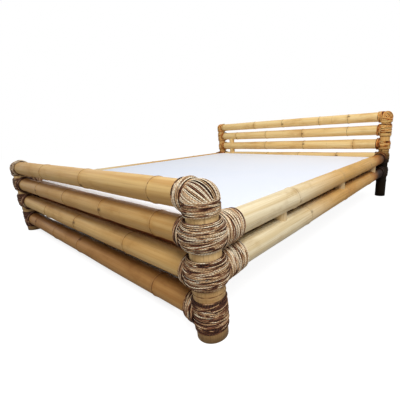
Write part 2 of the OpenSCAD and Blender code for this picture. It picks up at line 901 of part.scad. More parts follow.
foot_post(true);  // foot_post_left
foot_post(false);  // foot_post_right
head_post(true);  // head_post_left
head_post(false);  // head_post_right
foot_rail(0);  // foot_rail_1
foot_rail(1);  // foot_rail_2
foot_rail(2);  // foot_rail_3
foot_rail(3);  // foot_rail_4
head_rail(0);  // head_rail_1
head_rail(1);  // head_rail_2
head_rail(2);  // head_rail_3
head_rail(3);  // head_rail_4
head_rail(4);  // head_rail_5
side_rail(true, side_levels[0]);  // side_rail_upper_left
side_rail(false, side_levels[0]);  // side_rail_upper_right
side_rail(true, side_levels[1]);  // side_rail_lower_left
side_rail(false, side_levels[1]);  // side_rail_lower_right
side_spacers(true);  // side_spacers_left
side_spacers(false);  // side_spacers_right
head_spacers();
foot_lashing(true, 0);  // foot_lashing_left_1
foot_lashing(true, 1);  // foot_lashing_left_2
foot_lashing(true, 2);  // foot_lashing_left_3
foot_lashing(true, 3);  // foot_lashing_left_4
foot_lashing(false, 0);  // foot_lashing_right_1
foot_lashing(false, 1);  // foot_lashing_right_2
foot_lashing(false, 2);  // foot_lashing_right_3
foot_lashing(false, 3);  // foot_lashing_right_4
head_lashing(true, 0);  // head_lashing_left_1
head_lashing(true, 1);  // head_lashing_left_2
head_lashing(true, 2);  // head_lashing_left_3
head_lashing(true, 3);  // head_lashing_left_4
head_lashing(true, 4);  // head_lashing_left_5
head_lashing(false, 0);  // head_lashing_right_1
head_lashing(false, 1);  // head_lashing_right_2
head_lashing(false, 2);  // head_lashing_right_3
head_lashing(false, 3);  // head_lashing_right_4
head_lashing(false, 4);  // head_lashing_right_5
post_plugs();
foot_rail_plugs();
head_rail_plugs();
side_rail_plugs();
post_pegs();
foot_rail_pegs();
head_rail_pegs();
side_rail_pegs();
ledger(true);  // ledger_left
ledger(false);  // ledger_right
ledger_screws();
ledger_washers();
stop_board(board_foot);  // foot_stop_board
stop_board(board_head);  // head_stop_board
centre_beam();
centre_legs();
slats();
mattress();
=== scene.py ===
"""A lashed bamboo bed: culms, rattan windings, mattress, floor, lights and camera."""
import math

import bmesh
import bpy
import numpy as np
from mathutils import Matrix, Vector

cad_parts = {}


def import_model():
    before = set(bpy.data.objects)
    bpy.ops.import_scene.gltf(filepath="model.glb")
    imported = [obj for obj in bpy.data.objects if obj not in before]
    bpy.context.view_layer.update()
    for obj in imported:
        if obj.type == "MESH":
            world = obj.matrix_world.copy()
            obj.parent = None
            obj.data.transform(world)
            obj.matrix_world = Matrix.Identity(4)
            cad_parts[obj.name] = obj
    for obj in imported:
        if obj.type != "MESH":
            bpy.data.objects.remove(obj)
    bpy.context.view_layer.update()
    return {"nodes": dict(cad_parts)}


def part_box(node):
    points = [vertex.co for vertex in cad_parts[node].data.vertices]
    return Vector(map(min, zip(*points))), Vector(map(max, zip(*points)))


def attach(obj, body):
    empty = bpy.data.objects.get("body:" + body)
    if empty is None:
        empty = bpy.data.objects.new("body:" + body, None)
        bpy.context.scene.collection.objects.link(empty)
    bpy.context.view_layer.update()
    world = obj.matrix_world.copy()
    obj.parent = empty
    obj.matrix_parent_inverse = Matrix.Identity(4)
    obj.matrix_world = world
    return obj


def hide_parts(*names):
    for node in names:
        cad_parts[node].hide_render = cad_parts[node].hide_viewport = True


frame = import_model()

NODES = frame["nodes"]
SIDES = (("left", -1), ("right", 1))
# random phases run from 0 to this, about a full turn
PHASES = 6.3


# Helpers

def rgb(r, g, b):
    """An 8-bit colour as Blender's linear colour."""
    def linear(c):
        c /= 255
        return c / 12.92 if c <= 0.04045 else ((c + 0.055) / 1.055) ** 2.4
    return (linear(r), linear(g), linear(b), 1.0)


def smoothstep(a, b, x):
    """A smooth rise from 0 at a to 1 at b."""
    t = np.clip((x - a) / (b - a), 0, 1)
    return t * t * (3 - 2 * t)


def hump(x, height, width):
    """A round rise at x = 0."""
    return height * np.exp(-(x / width) ** 2)


def unit(v):
    """Vectors brought to length 1."""
    return v / np.maximum(np.linalg.norm(v, axis=-1, keepdims=True), 1e-12)


def circle(count, shift=0):
    """Even angles round a ring."""
    return (np.arange(count) + shift) * 2 * math.pi / count


def half_turn(angle):
    """Angles brought to within half a turn of 0."""
    return (angle + math.pi) % (2 * math.pi) - math.pi


def tube(rows, count, base=0):
    """Quads between rings that have the same count of points, from the point base on."""
    return [(base + i * count + k, base + i * count + (k + 1) % count,
             base + (i + 1) * count + (k + 1) % count, base + (i + 1) * count + k)
            for i in range(rows - 1) for k in range(count)]


def centre(node):
    """The middle of a CAD node's box."""
    low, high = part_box(node)
    return (np.array(low) + np.array(high)) / 2


def add(name, data):
    """A new object in the scene."""
    obj = bpy.data.objects.new(name, data)
    bpy.context.scene.collection.objects.link(obj)
    return obj


def build(name, verts, faces, attributes, material, nodes, body="frame"):
    """A smooth mesh with named attributes, which stands for the given CAD nodes."""
    mesh = bpy.data.meshes.new(name)
    mesh.from_pydata([tuple(v) for v in verts], [], faces)
    shell = bmesh.new()
    shell.from_mesh(mesh)
    bmesh.ops.recalc_face_normals(shell, faces=shell.faces)
    shell.to_mesh(mesh)
    shell.free()
    for key, values in attributes.items():
        values = np.asarray(values, dtype=np.float32)
        kind, field = ("FLOAT_VECTOR", "vector") if values.ndim == 2 else ("FLOAT", "value")
        layer = mesh.attributes.new(key, kind, "POINT")
        layer.data.foreach_set(field, values.ravel())
    mesh.shade_smooth()
    mesh.materials.append(material)
    obj = add(name, mesh)
    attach(obj, body)
    if nodes:
        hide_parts(*nodes)
    return obj


# Materials

class Tree:
    """Short names for building one material's nodes."""

    def __init__(self, name):
        self.material = bpy.data.materials.new(name)
        self.material.use_nodes = True
        self.nodes = self.material.node_tree.nodes
        self.links = self.material.node_tree.links
        self.nodes.clear()
        self.out = self.nodes.new("ShaderNodeOutputMaterial")
        self.shader = self.nodes.new("ShaderNodeBsdfPrincipled")
        self.link(self.shader.outputs[0], self.out.inputs[0])

    def link(self, source, target):
        self.links.new(source, target)

    def feed(self, socket, value):
        """Gives a socket a fixed value, or links it to another node's output."""
        if isinstance(value, (int, float, tuple)):
            socket.default_value = value
        else:
            self.link(value, socket)

    def attribute(self, name, vector=False):
        node = self.nodes.new("ShaderNodeAttribute")
        node.attribute_name = name
        return node.outputs["Vector" if vector else "Fac"]

    def position(self):
        return self.nodes.new("ShaderNodeTexCoord").outputs["Object"]

    def split(self, vector):
        node = self.nodes.new("ShaderNodeSeparateXYZ")
        self.link(vector, node.inputs[0])
        return node.outputs

    def noise(self, vector, scale, detail=3.0, rough=0.55, distort=0.0):
        """Noise with its own scale along each axis."""
        mapping = self.nodes.new("ShaderNodeMapping")
        self.link(vector, mapping.inputs["Vector"])
        mapping.inputs["Scale"].default_value = scale
        node = self.nodes.new("ShaderNodeTexNoise")
        self.link(mapping.outputs[0], node.inputs["Vector"])
        node.inputs["Scale"].default_value = 1.0
        node.inputs["Detail"].default_value = detail
        node.inputs["Roughness"].default_value = rough
        node.inputs["Distortion"].default_value = distort
        return node.outputs["Fac"]

    def math(self, operation, *values):
        node = self.nodes.new("ShaderNodeMath")
        node.operation = operation
        for socket, value in zip(node.inputs, values):
            self.feed(socket, value)
        return node.outputs[0]

    def plus(self, a, b):
        return self.math("ADD", a, b)

    def times(self, a, b):
        return self.math("MULTIPLY", a, b)

    def size(self, value):
        return self.math("ABSOLUTE", value)

    def remap(self, value, a, b, c=0.0, d=1.0):
        """A smooth change from c, where the value is a, to d, where it is b."""
        node = self.nodes.new("ShaderNodeMapRange")
        node.interpolation_type = "SMOOTHSTEP"
        self.link(value, node.inputs["Value"])
        for key, number in zip(("From Min", "From Max", "To Min", "To Max"), (a, b, c, d)):
            node.inputs[key].default_value = number
        return node.outputs["Result"]

    def cover(self, under, over, mask, amount=1.0):
        """One colour over another where the mask is high."""
        node = self.nodes.new("ShaderNodeMix")
        node.data_type = "RGBA"
        self.feed(node.inputs["Factor"], mask if amount == 1.0 else self.times(mask, amount))
        self.feed(node.inputs[6], under)
        self.feed(node.inputs[7], over)
        return node.outputs[2]

    def bump(self, height, strength, distance):
        node = self.nodes.new("ShaderNodeBump")
        node.inputs["Strength"].default_value = strength
        node.inputs["Distance"].default_value = distance
        self.link(height, node.inputs["Height"])
        self.link(node.outputs[0], self.shader.inputs["Normal"])

    def set(self, **values):
        for key, value in values.items():
            self.feed(self.shader.inputs[key.replace("_", " ").title().replace("Ior", "IOR")], value)


# painted shadow: the brown of the band that a rail would cast on the one below
CAST_SHADOW_BROWN = rgb(126, 78, 36)
JOINT_LINE = rgb(84, 50, 26)
BUD_SCAR = rgb(66, 38, 20)
# toasted brown, partly the rails' own colour and partly painted shadow, then a painted black shadow
TOASTED_AND_SHADE = rgb(178, 104, 34)
SHADOW_BLACK = rgb(38, 18, 8)
# near black for the lower head legs, cane and windings: painted shade
CANE_LEG_SHADE = rgb(13, 8, 6)
RATTAN_LEG_SHADE = rgb(18, 11, 8)


def bamboo(name, light, mid, dark, mottle, old=None, streaks=0.45, ring=1.0, gloss=0.16, leg_shade=None):
    """Bamboo skin: fibres, clouds, specks, a painted brown shadow on the upper side, worn lines at the
    joints, bud scars, ends painted dark with shadow.

    A tone of 1 gives the old colour, and more than that a toasted brown and then a painted black shadow.
    The span of heights given for the legs is where a painted black shade fades out upwards."""
    t = Tree(name)
    rest = t.attribute("rest", vector=True)
    joint = t.attribute("joint")
    tone = t.attribute("tone")
    fibres = t.noise(rest, (3.0, 420.0, 420.0), detail=4.0, rough=0.6)
    broad = t.noise(rest, (1.6, 60.0, 60.0), detail=2.0)
    clouds = t.noise(rest, (5.0, 12.0, 12.0), detail=4.0, rough=0.6)
    specks = t.noise(rest, (160.0, 330.0, 330.0), detail=2.0)
    wear = t.noise(rest, (20.0, 60.0, 60.0), detail=2.0)
    colour = t.cover(light, mid, t.remap(broad, 0.3, 0.7))
    colour = t.cover(colour, dark, t.remap(fibres, 0.52, 0.78), streaks)
    colour = t.cover(colour, old or mid, t.remap(tone, 0.0, 1.0), 0.85 if old else 0.6)
    colour = t.cover(colour, mottle, t.remap(clouds, 0.5, 0.75), 0.55)
    colour = t.cover(colour, dark, t.remap(specks, 0.66, 0.8), 0.35)
    # painted shadow: a brown band where the rail above would cast its shadow
    colour = t.cover(colour, CAST_SHADOW_BROWN, t.attribute("cast_shadow"), t.remap(clouds, 0.3, 0.7, 0.7, 1.0))
    if old:
        aged = t.times(t.remap(tone, 0.2, 1.1), t.remap(fibres, 0.46, 0.7))
        colour = t.cover(colour, dark, aged, 0.55)
    near = t.remap(t.size(joint), 0.0, 0.03, 1.0, 0.0)
    colour = t.cover(colour, mottle, t.times(near, t.remap(clouds, 0.35, 0.65)), 0.5)
    worn = t.remap(wear, 0.35, 0.6, 0.35 * ring, 0.9 * ring)
    line = t.remap(t.size(joint), 0.0008, 0.0026, 1.0, 0.0)
    colour = t.cover(colour, JOINT_LINE, line, worn)
    ledge = t.remap(t.size(t.plus(joint, 0.006)), 0.0005, 0.0030, 0.45, 0.0)
    colour = t.cover(colour, light, ledge, worn)
    colour = t.cover(colour, BUD_SCAR, t.attribute("bud"), 0.85 * ring)
    # high tones give a toasted brown and then black: painted shadow where the side rails meet the shaded head
    # leg
    heat_and_shade = t.plus(tone, t.times(t.math("SUBTRACT", clouds, 0.5), 0.7))
    colour = t.cover(colour, TOASTED_AND_SHADE, t.remap(heat_and_shade, 1.0, 1.7, 0.0, 0.75))
    colour = t.cover(colour, SHADOW_BLACK, t.remap(heat_and_shade, 1.3, 2.3))
    # painted shade: near black low on the head legs, fading out upwards
    if leg_shade:
        colour = t.cover(colour, CANE_LEG_SHADE, t.remap(t.attribute("height"), *leg_shade, 0.99, 0.0))
    t.set(base_color=colour, roughness=t.remap(clouds, 0.3, 0.7, 0.4, 0.55))
    t.set(specular_ior_level=gloss)
    t.bump(t.plus(t.times(fibres, 0.7), t.times(clouds, 0.3)), 0.35, 0.0009)
    return t.material


def rattan(name, dark, low, middle, high, blush, leg_shade=None):
    """Split rattan: each strand has its tint, with fibres along it and painted shade on its edges and in the
    gaps.
    """
    t = Tree(name)
    rest = t.attribute("rest", vector=True)
    fibres = t.noise(rest, (30.0, 900.0, 900.0), rough=0.6)
    patches = t.noise(rest, (60.0, 240.0, 240.0), rough=0.65)
    hue = t.noise(rest, (9.0, 60.0, 60.0), detail=2.0)
    twist = t.math("SINE", t.times(t.attribute("twist"), 2 * math.pi))
    value = t.plus(t.attribute("tint"), t.times(t.math("SUBTRACT", patches, 0.5), 1.1))
    colour = t.cover(dark, low, t.remap(value, 0.0, 0.22))
    colour = t.cover(colour, middle, t.remap(value, 0.18, 0.5))
    colour = t.cover(colour, high, t.remap(value, 0.5, 0.9))
    colour = t.cover(colour, blush, t.remap(hue, 0.5, 0.72), 0.45)
    colour = t.cover(colour, low, t.remap(twist, 0.0, 1.0), 0.5)
    colour = t.cover(colour, low, t.remap(fibres, 0.55, 0.75), 0.4)
    # painted shade: the strands' flanks and undersides darken where they meet
    colour = t.cover(colour, dark, t.remap(t.attribute("edge"), 0.3, 0.95), 0.88)
    # painted shade: near black low on the head legs' windings, fading out upwards
    if leg_shade:
        colour = t.cover(colour, RATTAN_LEG_SHADE, t.remap(t.attribute("height"), *leg_shade, 0.97, 0.0))
    t.set(base_color=colour, roughness=0.6, specular_ior_level=0.18)
    t.bump(t.plus(fibres, t.times(twist, 0.5)), 0.5, 0.0008)
    return t.material


def timber(name, light, dark, along=0, ring=26.0, rough=0.6):
    """Sawn wood with its grain along one axis."""
    t = Tree(name)
    coarse = [2.0 * ring] * 3
    coarse[along] = 6.0
    close = [240.0] * 3
    close[along] = 12.0
    grain = t.noise(t.position(), coarse, detail=5.0, rough=0.62, distort=0.6)
    fine = t.noise(t.position(), close, detail=2.0)
    colour = t.cover(light, dark, t.remap(grain, 0.35, 0.68))
    colour = t.cover(colour, dark, t.remap(fine, 0.5, 0.75), 0.35)
    t.set(base_color=colour, roughness=rough)
    t.bump(fine, 0.3, 0.0006)
    return t.material


def zinc():
    """Zinc-plated steel with soft clouds."""
    t = Tree("zinc_steel")
    cloud = t.noise(t.position(), (90.0, 90.0, 90.0))
    t.set(base_color=t.cover(rgb(150, 152, 156), rgb(196, 198, 200), cloud), metallic=1.0)
    t.set(roughness=t.remap(cloud, 0.3, 0.7, 0.28, 0.45))
    return t.material


# spans along the mattress of painted light and shade: where the painted white foot edge turns blue, and the
# blue slowly white again
PAINTED_LIGHT_FOOT = (-0.98, -0.86)
PAINTED_SHADE_SPAN = (-0.7, 0.7)


def ticking():
    """White woven cotton: a fine weave, soft clouds, and painted light and shade: whiter at the foot and
    bluer on the near half.
    """
    t = Tree("white_cotton")
    place = t.position()
    waves = []
    for axis in "XY":
        node = t.nodes.new("ShaderNodeTexWave")
        node.bands_direction = axis
        t.link(place, node.inputs["Vector"])
        node.inputs["Scale"].default_value = 260.0
        node.inputs["Distortion"].default_value = 0.4
        waves.append(node.outputs["Fac"])
    weave = t.math("MAXIMUM", *waves)
    cloud = t.noise(place, (1.6, 1.6, 1.6))
    along = t.split(place)["Y"]
    # painted light and shade along the mattress: white at the foot end, blue and darker on the near half,
    # lighter towards the head
    colour = t.cover(rgb(250, 250, 252), rgb(225, 232, 245), t.remap(along, *PAINTED_LIGHT_FOOT))
    colour = t.cover(colour, rgb(238, 240, 246), t.remap(along, *PAINTED_SHADE_SPAN))
    colour = t.cover(colour, rgb(240, 240, 243), t.remap(cloud, 0.35, 0.65), 0.3)
    colour = t.cover(colour, rgb(204, 212, 228), weave, 0.05)
    t.set(base_color=colour, roughness=0.8, sheen_weight=0.15)
    t.bump(weave, 0.12, 0.0004)
    return t.material


TAN = bamboo("bamboo_tan", rgb(218, 182, 118), rgb(198, 154, 90), rgb(136, 92, 44), rgb(172, 124, 62),
             old=rgb(178, 132, 72))
ORANGE = bamboo("bamboo_orange", rgb(188, 142, 82), rgb(162, 114, 60), rgb(104, 64, 30), rgb(136, 90, 44))
PALE = bamboo("bamboo_pale", rgb(234, 221, 188), rgb(216, 196, 154), rgb(146, 112, 68), rgb(172, 138, 86),
              old=rgb(212, 160, 80), streaks=0.7, ring=0.6, gloss=0.05)
GOLD = bamboo("bamboo_gold", rgb(244, 216, 156), rgb(230, 190, 122), rgb(172, 122, 60), rgb(196, 144, 78))
POST = bamboo("bamboo_post", rgb(236, 200, 142), rgb(214, 174, 116), rgb(116, 78, 42), rgb(170, 128, 78),
              old=rgb(142, 108, 68), streaks=0.85)
# the head post's leg is painted near black below the rails: painted shade
HEAD_POST = bamboo("bamboo_head_post", rgb(238, 192, 120), rgb(210, 158, 88), rgb(124, 80, 40),
                   rgb(156, 104, 54), gloss=0.08, leg_shade=(0.30, 0.47))
RATTAN = rattan("rattan_strands", rgb(38, 17, 11), rgb(122, 74, 48), rgb(210, 173, 128),
                rgb(250, 235, 204), rgb(164, 114, 90))
# the windings low on the head posts are painted near black: painted shade
HEAD_RATTAN = rattan("rattan_golden", rgb(58, 22, 8), rgb(160, 80, 26), rgb(234, 156, 70),
                     rgb(255, 214, 134), rgb(204, 112, 50), leg_shade=(0.31, 0.47))
PINE = [timber(f"pine_along_{axis}", rgb(214, 178, 126), rgb(178, 134, 84), along=k)
        for k, axis in enumerate("xyz")]
BROWN = timber("brown_board", rgb(196, 120, 74), rgb(142, 80, 48), ring=18.0, rough=0.5)
ZINC = zinc()
COTTON = ticking()


# Culms

WALL = 0.009
DIAPHRAGM_DEPTH = 0.05
CULM_SIDES = 56
RING_STEP = 0.03
NEAR_JOINT_MM = (0, 1, 2, 3, 4.5, 6, 8, 11, 16, 25, 40, 60)
JOINT_RINGS = np.array(sorted({way * d for d in NEAR_JOINT_MM for way in (-1, 1)})) / 1000
# the height and the width of the swelling, the ridge and the groove at a joint
SWELL = (0.0016, 0.011)
RIDGE = (0.0009, 0.0022)
GROOVE = (0.0009, 0.0012)
RIDGE_BACK = 0.0035
# a bud stands ahead of its joint; its reach is along the culm and round it
BUD_AHEAD = 0.009
BUD_REACH = (0.0115, 0.0070)
BUD_HEIGHT = 0.0016
OUT_OF_ROUND = 0.006
WAVE_HEIGHT = 0.0004
WAVE_RATES = (4, 9, 17)
NO_JOINT = 0.5
# each cane takes its pattern from a place of its own, which its seed sets
SEED_SHIFT = 3.7
# the far end's own tone comes in over this length
LAST_STRETCH = 0.40
# the upper back side of a rail, which takes the painted cast shadow
SHADOWED_SIDE = np.array([0.0, 0.25, 0.97])
# the painted leg shade ends this much lower on the left head post
LEFT_LEG_SHADE_DROP = 0.14


def leg_shade_height(verts):
    """The height for the head posts' painted shade, which ends lower on the left post."""
    return verts[:, 2] + np.where(verts[:, 0] < 0, LEFT_LEG_SHADE_DROP, 0.0)


def ring_places(length, joints):
    """Places of a culm's rings along it, close together at its joints."""
    even = np.linspace(0, length, max(int(length / RING_STEP), 4))
    places = np.concatenate([even] + [j + JOINT_RINGS for j in joints])
    return np.unique(np.round(np.clip(places, 0, length), 5))


def joint_gaps(s, joints):
    """The signed distance of each place from the nearest joint, up to 1 m."""
    gap = np.full_like(s, 1.0)
    for j in joints:
        nearer = np.abs(s - j) < np.abs(gap)
        gap[nearer] = (s - j)[nearer]
    return gap


def open_ends(grid, rest, axis, length, radius):
    """The cut wall, the bore and the diaphragm behind it, at both ends of a culm's rings."""
    rows, count = grid.shape[:2]
    verts, rests, faces = [], [], []
    total = rows * count
    for row, inward in ((0, 1), (rows - 1, -1)):
        first = row * count
        hub = grid[row].mean(axis=0)
        bore = hub + (grid[row] - hub) * (1 - WALL / radius)
        deep = bore + axis * inward * min(DIAPHRAGM_DEPTH, length * 0.3)
        verts += [bore, deep]
        rests += [rest[row] * 0.8] * 2
        for k in range(count):
            m = (k + 1) % count
            quads = [(first + k, total + k, total + m, first + m),
                     (total + k, total + count + k, total + count + m, total + m)]
            faces += quads if inward > 0 else [q[::-1] for q in quads]
        cap = tuple(total + count + k for k in range(count))
        faces.append(cap if inward > 0 else cap[::-1])
        total += 2 * count
    return verts, rests, faces


def culm(node, start, end, radius, joints, material, seed, tone=0.3, bow=0.002, taper=0.0,
         shadow_weight=0.0):
    """A length of cane from start to end, with joints at the given distances from its start.

    The tone is one number, or three: near the start, over the far half and at the far end. A painted
    brown shadow of the given weight darkens the upper side, as if cast by the rail above."""
    rng = np.random.default_rng(seed)
    start, end = np.array(start, float), np.array(end, float)
    axis = unit(end - start)
    length = float(np.linalg.norm(end - start))
    side = unit(np.cross(axis, [0.0, 0.0, 1.0] if abs(axis[2]) < 0.9 else [1.0, 0.0, 0.0]))
    up = np.cross(side, axis)
    s = ring_places(length, joints)
    gap = joint_gaps(s, joints)
    angle = circle(CULM_SIDES)
    swell = hump(gap, *SWELL) + hump(gap + RIDGE_BACK, *RIDGE) - hump(gap, *GROOVE)
    waves = sum(rng.normal() * WAVE_HEIGHT * np.sin(s * f + rng.uniform(0, PHASES)) for f in WAVE_RATES)
    girth = radius + swell + waves + taper * (0.5 - s / length)
    oval = OUT_OF_ROUND * np.cos(2 * (angle[None, :] + rng.uniform(0, 3.1)))
    r = girth[:, None] * (1 + oval)
    off = bow * np.sin(math.pi * s / length)
    turn = rng.uniform(0, PHASES)
    across = r * np.cos(angle)[None, :] + (off * math.cos(turn))[:, None]
    along_up = r * np.sin(angle)[None, :] + (off * math.sin(turn))[:, None]
    grid = start + s[:, None, None] * axis + across[..., None] * side + along_up[..., None] * up
    rest = np.stack([np.broadcast_to(s[:, None] + seed * SEED_SHIFT, r.shape), across, along_up], -1)
    outward = unit(np.cos(angle)[None, :, None] * side + np.sin(angle)[None, :, None] * up)
    bud = np.zeros_like(r)
    for k, j in enumerate(joints):
        direction = rng.normal(0.15, 0.35) + math.pi * ((k + seed) % 2)
        along = (s[:, None] - j - BUD_AHEAD) / BUD_REACH[0]
        round_it = half_turn(angle - direction)[None, :] * radius / BUD_REACH[1]
        reach = np.sqrt(along ** 2 + round_it ** 2)
        bud = np.maximum(bud, np.exp(-reach ** 3))
        grid += hump(reach, BUD_HEIGHT, 1.5)[..., None] * outward
    # painted shadow cast by the rail above, on the upper back side, lighter towards the near end
    facing = np.cos(angle) * (side @ SHADOWED_SIDE) + np.sin(angle) * (up @ SHADOWED_SIDE)
    cast_shadow = shadow_weight * smoothstep(0.45, 0.72, facing)[None, :] * (1 - 0.6 * s / length)[:, None]
    end_verts, end_rests, end_faces = open_ends(grid, rest, axis, length, radius)
    verts = np.concatenate([grid.reshape(-1, 3)] + end_verts)
    pad = len(verts) - r.size
    near, far, last = (tone, tone, tone) if isinstance(tone, float) else tone
    tone_places = [0.0, 0.2 * length, 0.55 * length, length - LAST_STRETCH, length]
    attributes = {
        "rest": np.concatenate([rest.reshape(-1, 3)] + end_rests),
        "joint": np.concatenate([np.repeat(gap, CULM_SIDES), np.full(pad, NO_JOINT)]),
        "bud": np.concatenate([bud.ravel(), np.zeros(pad)]),
        "cast_shadow": np.concatenate([cast_shadow.ravel(), np.zeros(pad)]),
        "tone": np.interp((verts - start) @ axis, tone_places, [near, near, far, far, last]),
        "height": leg_shade_height(verts),
    }
    faces = tube(len(s), CULM_SIDES) + end_faces
    return build("cane_" + node, verts, faces, attributes, material, [node])


def saddles(node, centres, radius, axis, seats, material):
    """Short canes whose ends follow the rails below and above them, joined into one piece.

    A seat is the height and the radius of the lower rail, then those of the upper one."""
    verts, faces, rests = [], [], []
    total = 0
    count, rows = 40, 9
    angle = circle(count)
    across = radius * (np.cos(angle) if axis == "x" else np.sin(angle))
    share = np.linspace(0, 1, rows)[:, None]
    for k, (x, y) in enumerate(centres):
        (low_z, low_r), (high_z, high_r) = seats[k]
        bottom = low_z + np.sqrt(np.maximum(low_r ** 2 - across ** 2, 0)) - 0.001
        top = high_z - np.sqrt(np.maximum(high_r ** 2 - across ** 2, 0)) + 0.001
        z = bottom + (top - bottom) * share
        grid = np.stack([np.broadcast_to(x + radius * np.cos(angle), z.shape),
                         np.broadcast_to(y + radius * np.sin(angle), z.shape), z], -1).reshape(-1, 3)
        verts.append(grid)
        rests.append(np.stack([grid[:, 2] + k, grid[:, 0], grid[:, 1]], -1))
        faces += tube(rows, count, total)
        total += len(grid)
    attributes = {"rest": np.concatenate(rests)}
    attributes["joint"] = np.full(total, NO_JOINT)
    attributes["tone"] = np.full(total, 0.4)
    return build("cane_" + node, np.concatenate(verts), faces, attributes, material, [node])


# Windings

TONES = [-0.20, 0.12, 0.38, 0.52, 0.66, 0.86, 1.10]
SHARES = [0.10, 0.13, 0.19, 0.20, 0.17, 0.13, 0.08]
MEAN_TONE = 0.48
CONTRAST = 0.72
# the packing is dark: painted shade in the gaps between strands
GAP_SHADE_TONE = 0.08
STRAND_SIDES = 8
STEPS_PER_TURN = 48
TWIST_PITCH = 0.0085
TWIST_ACROSS = 0.35
# how far a strand strays along its winding, in widths, and lifts off it, in thicknesses
STRAY, LIFT = 0.16, 0.12
# how deep the packing and the main turns lie under a winding's surface; the last turns lie over it
BALL_DEPTHS = (0.0052, 0.0021, -0.0004)
COLLAR_DEPTHS = (0.0042, 0.0018, -0.0010)
DOME_DEPTHS = (0.0044, 0.0019)
# from strand to strand, in widths
BALL_PITCH, COLLAR_PITCH, DOME_PITCH = 1.2, 1.32, 1.22
# the last turns start and end this far apart along the axis
SLANT = 0.004
BALL_FULLNESS = 2.4
# a lobe's reach round the post, in radians, and along it
LOBE_REACH = (0.85, 0.045)
DOME_LAY = math.radians(24)
DOME_BRIM = -0.003
DOME_STEPS = 26

# the axis of a winding in a corner's own frame, with two directions across it
UP = (np.array([0.0, 0.0, 1.0]), np.array([1.0, 0.0, 0.0]), np.array([0.0, 1.0, 0.0]))
CROSS = (np.array([-1.0, 0.0, 0.0]), np.array([0.0, 0.0, 1.0]), np.array([0.0, 1.0, 0.0]))
SIDE = (np.array([0.0, 1.0, 0.0]), np.array([1.0, 0.0, 0.0]), np.array([0.0, 0.0, 1.0]))
ORIGIN = np.zeros(3)


def blend_tones(rng, n, knots, shade):
    """Tones held along a strand, with short changes from one to the next."""
    tones = rng.choice(TONES, knots + 1, p=SHARES) + shade
    place = np.linspace(0, knots - 1e-6, n)
    first = place.astype(int)
    part = smoothstep(0.32, 0.68, place - first)
    return tones[first] * (1 - part) + tones[first + 1] * part


class Bundle:
    """Strands and the packing under them, gathered into one mesh."""

    def __init__(self, seed):
        self.rng = np.random.default_rng(seed)
        self.verts, self.faces, self.rest, self.tint, self.edge, self.twist = [], [], [], [], [], []
        self.total = 0

    def add(self, verts, faces, rest, tint, edge=0.0, twist=0.0):
        self.verts.append(verts)
        self.faces += [tuple(i + self.total for i in f) for f in faces]
        self.rest.append(rest)
        self.tint.append(np.broadcast_to(tint, len(verts)))
        self.edge.append(np.broadcast_to(edge, len(verts)))
        self.twist.append(np.broadcast_to(twist, len(verts)))
        self.total += len(verts)

    def strand(self, path, normal, width, thick, tint):
        """A flat strand along path, with normal pointing away from what it lies on."""
        n, sides = len(path), STRAND_SIDES
        tangent = unit(np.gradient(path, axis=0))
        normal = unit(normal - (normal * tangent).sum(-1, keepdims=True) * tangent)
        flank = np.cross(tangent, normal)
        angle = circle(sides, 0.5)
        ring = (np.cos(angle)[None, :, None] * flank[:, None, :] * width / 2
                + np.sin(angle)[None, :, None] * normal[:, None, :] * thick / 2)
        verts = (path[:, None, :] + ring).reshape(-1, 3)
        faces = tube(n, sides)
        faces += [tuple(range(sides)), tuple(range((n - 1) * sides, n * sides))[::-1]]
        run = np.concatenate([[0], np.cumsum(np.linalg.norm(np.diff(path, axis=0), axis=1))])
        shift = self.rng.uniform(0, 50)
        rest = np.stack([np.repeat(run + shift, sides), np.tile(np.cos(angle) * width / 2, n) + shift,
                         np.tile(np.sin(angle) * thick / 2, n)], -1)
        tint = np.repeat(np.broadcast_to(tint, (n,)), sides)
        # edge marks a strand's flanks and underside, which take painted shade
        edge = np.tile(np.clip(1 - np.sin(angle), 0, 1), n)
        twist = np.repeat(run / TWIST_PITCH, sides) + np.tile(np.cos(angle) * TWIST_ACROSS, n)
        self.add(verts, faces, rest, tint, edge, twist)

    def helix(self, base, lateral, turns, radius, spread, width, thick, tilt=0.0, shade=0.0):
        """Turns of a strand round an axis: radius(a, s) and spread(s) give its distance and its place."""
        n = int(turns * STEPS_PER_TURN)
        a = np.linspace(0, 2 * math.pi * turns, n) + self.rng.uniform(0, PHASES)
        knots = int(turns) + 2
        jitter = self.wander(n, knots)
        lift = self.wander(n, 2 * knots + 1)
        place = spread(np.linspace(0, 1, n)) + jitter * width * STRAY
        place = place + tilt * np.sin(a + self.rng.uniform(0, PHASES))
        r = radius(a, place) + lift * thick * LIFT
        axis, e1, e2 = lateral
        out = np.cos(a)[:, None] * e1 + np.sin(a)[:, None] * e2
        path = base + place[:, None] * axis + r[:, None] * out
        slow = blend_tones(self.rng, n, 2 * knots, shade)
        quick = blend_tones(self.rng, n, 9 * knots, shade)
        tones = CONTRAST * (slow + quick) - (2 * CONTRAST - 1) * (MEAN_TONE + shade)
        self.strand(path, out, width, thick, tones)

    def wander(self, n, knots):
        """Random numbers at even knots, joined by straight lines."""
        return np.interp(np.linspace(0, knots - 1, n), np.arange(knots), self.rng.normal(0, 1, knots))

    def sleeve(self, base, lateral, radius, low, high):
        """The packing that shows between strands, dark with painted shade."""
        rows, count = 14, 40
        axis, e1, e2 = lateral
        a = circle(count)
        place = np.linspace(low, high, rows)
        r = np.stack([radius(a, np.full(count, p)) for p in place])
        out = np.cos(a)[:, None] * e1 + np.sin(a)[:, None] * e2
        verts = (base + place[:, None, None] * axis + r[..., None] * out[None]).reshape(-1, 3)
        self.add(verts, tube(rows, count), verts, GAP_SHADE_TONE)


